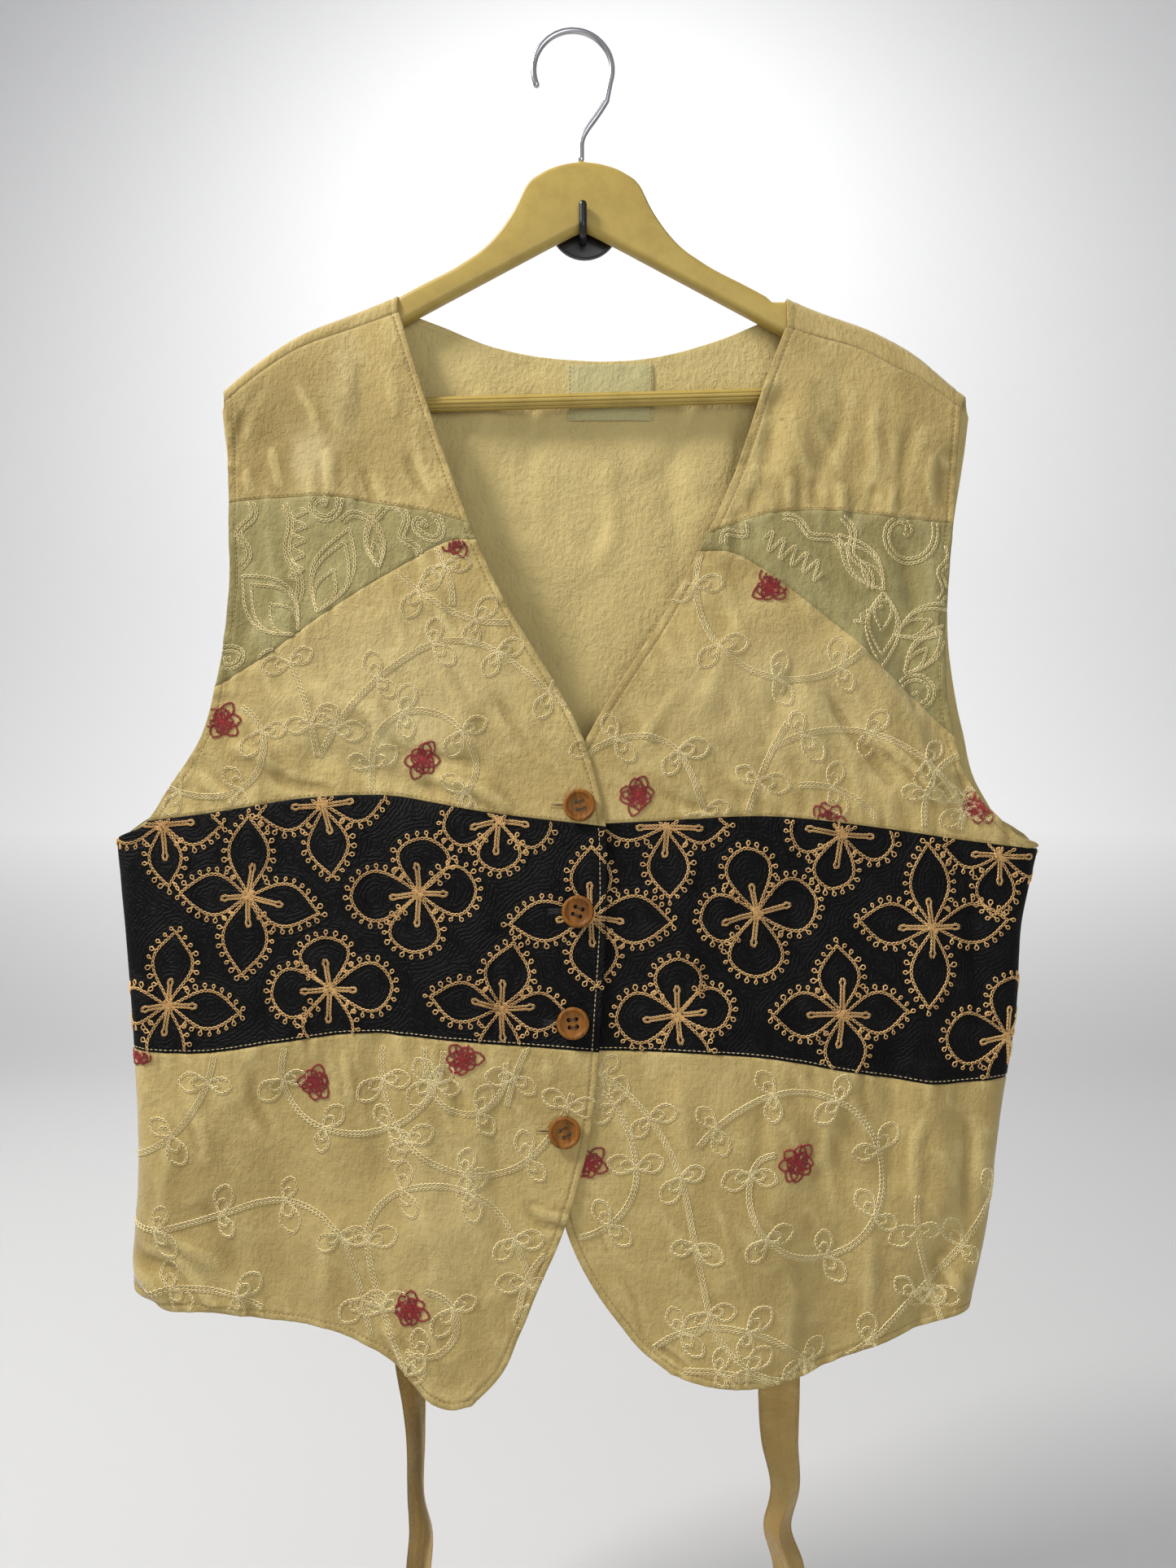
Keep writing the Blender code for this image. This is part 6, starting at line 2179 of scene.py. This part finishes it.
def sew_back_and_label():
    outline = outline_of(BACK_EDGES)
    rows = [bar_rows(inward(line, outline, STITCH_IN)) for line in (back_foot, neck_line)]
    for side, line in zip(SIDES, back_sides):
        arm_line = line[line[:, 1] > UNDERARM_Z[side]]
        rows.append(bar_rows(shifted(arm_line, -side * STITCH_IN)))
    label_rows = [bar_rows(shifted(label_lines[k], way * LABEL_STITCH_IN), 0.8, 1.95)
                  for k, way in ((2, 1), (3, -1))]
    sew("back", "back_topstitch",
        lambda p, v, out: on_cloth(0, BACK, p, v, out), "bar", rows, "tan")
    sew("neck_label", "neck_label_stitches",
        lambda p, v, out: on_cloth(0, BACK, p, v, -out), "bar", label_rows, "tan")


def sew_ties():
    for side in SIDES:
        name = f"tie_{SIDE_NAMES[side]}"
        z = np.linspace(TIES[side][0][0] + 3, TIE_STITCH_TOP_Z, 300)
        for face_way in (-1, 1):
            rows = [bar_rows(np.column_stack([z * 0 + way * (TIE_WIDTH / 2 - TIE_STITCH_IN), z]),
                             out=0.0) for way in (-1, 1)]
            sew(name, f"{name}_edge_stitches_{face_way + 1}",
                lambda p, v, out: tie_point(side, p / TIE_WIDTH, v,
                                            face_way * (out + TIE_THICK / 2)),
                "bar", rows, "tan")


sew_panels()
sew_back_and_label()
sew_ties()
print("stitches:", sum(len(part) for parts in SEWN.values() for part in parts))

# %% Thread through the buttons
BUTTON_THREAD = 0.38
THREAD_ROUTE = ((-2.1, 0.4), (-1.9, 1.7), (0, 2.05), (1.9, 1.7), (2.1, 0.4))
for number, frame_here in enumerate(BUTTON_FRAMES, start=1):
    for part, y in enumerate((-BUTTON_HOLE_OFFSET, BUTTON_HOLE_OFFSET)):
        mesh = rod(f"button_{number}_thread_{part}", [(x, y, z) for x, z in THREAD_ROUTE],
                   BUTTON_THREAD, THREADS["brown"], 8, False)
        mesh.transform(frame_here)
        add_piece(mesh)
print("button threads made")

# %% [markdown]
# ## The sewn pieces
#
# Each sewn piece started as a flat one. The number of pieces is printed.


print("sheets declared:", len(PIECES))
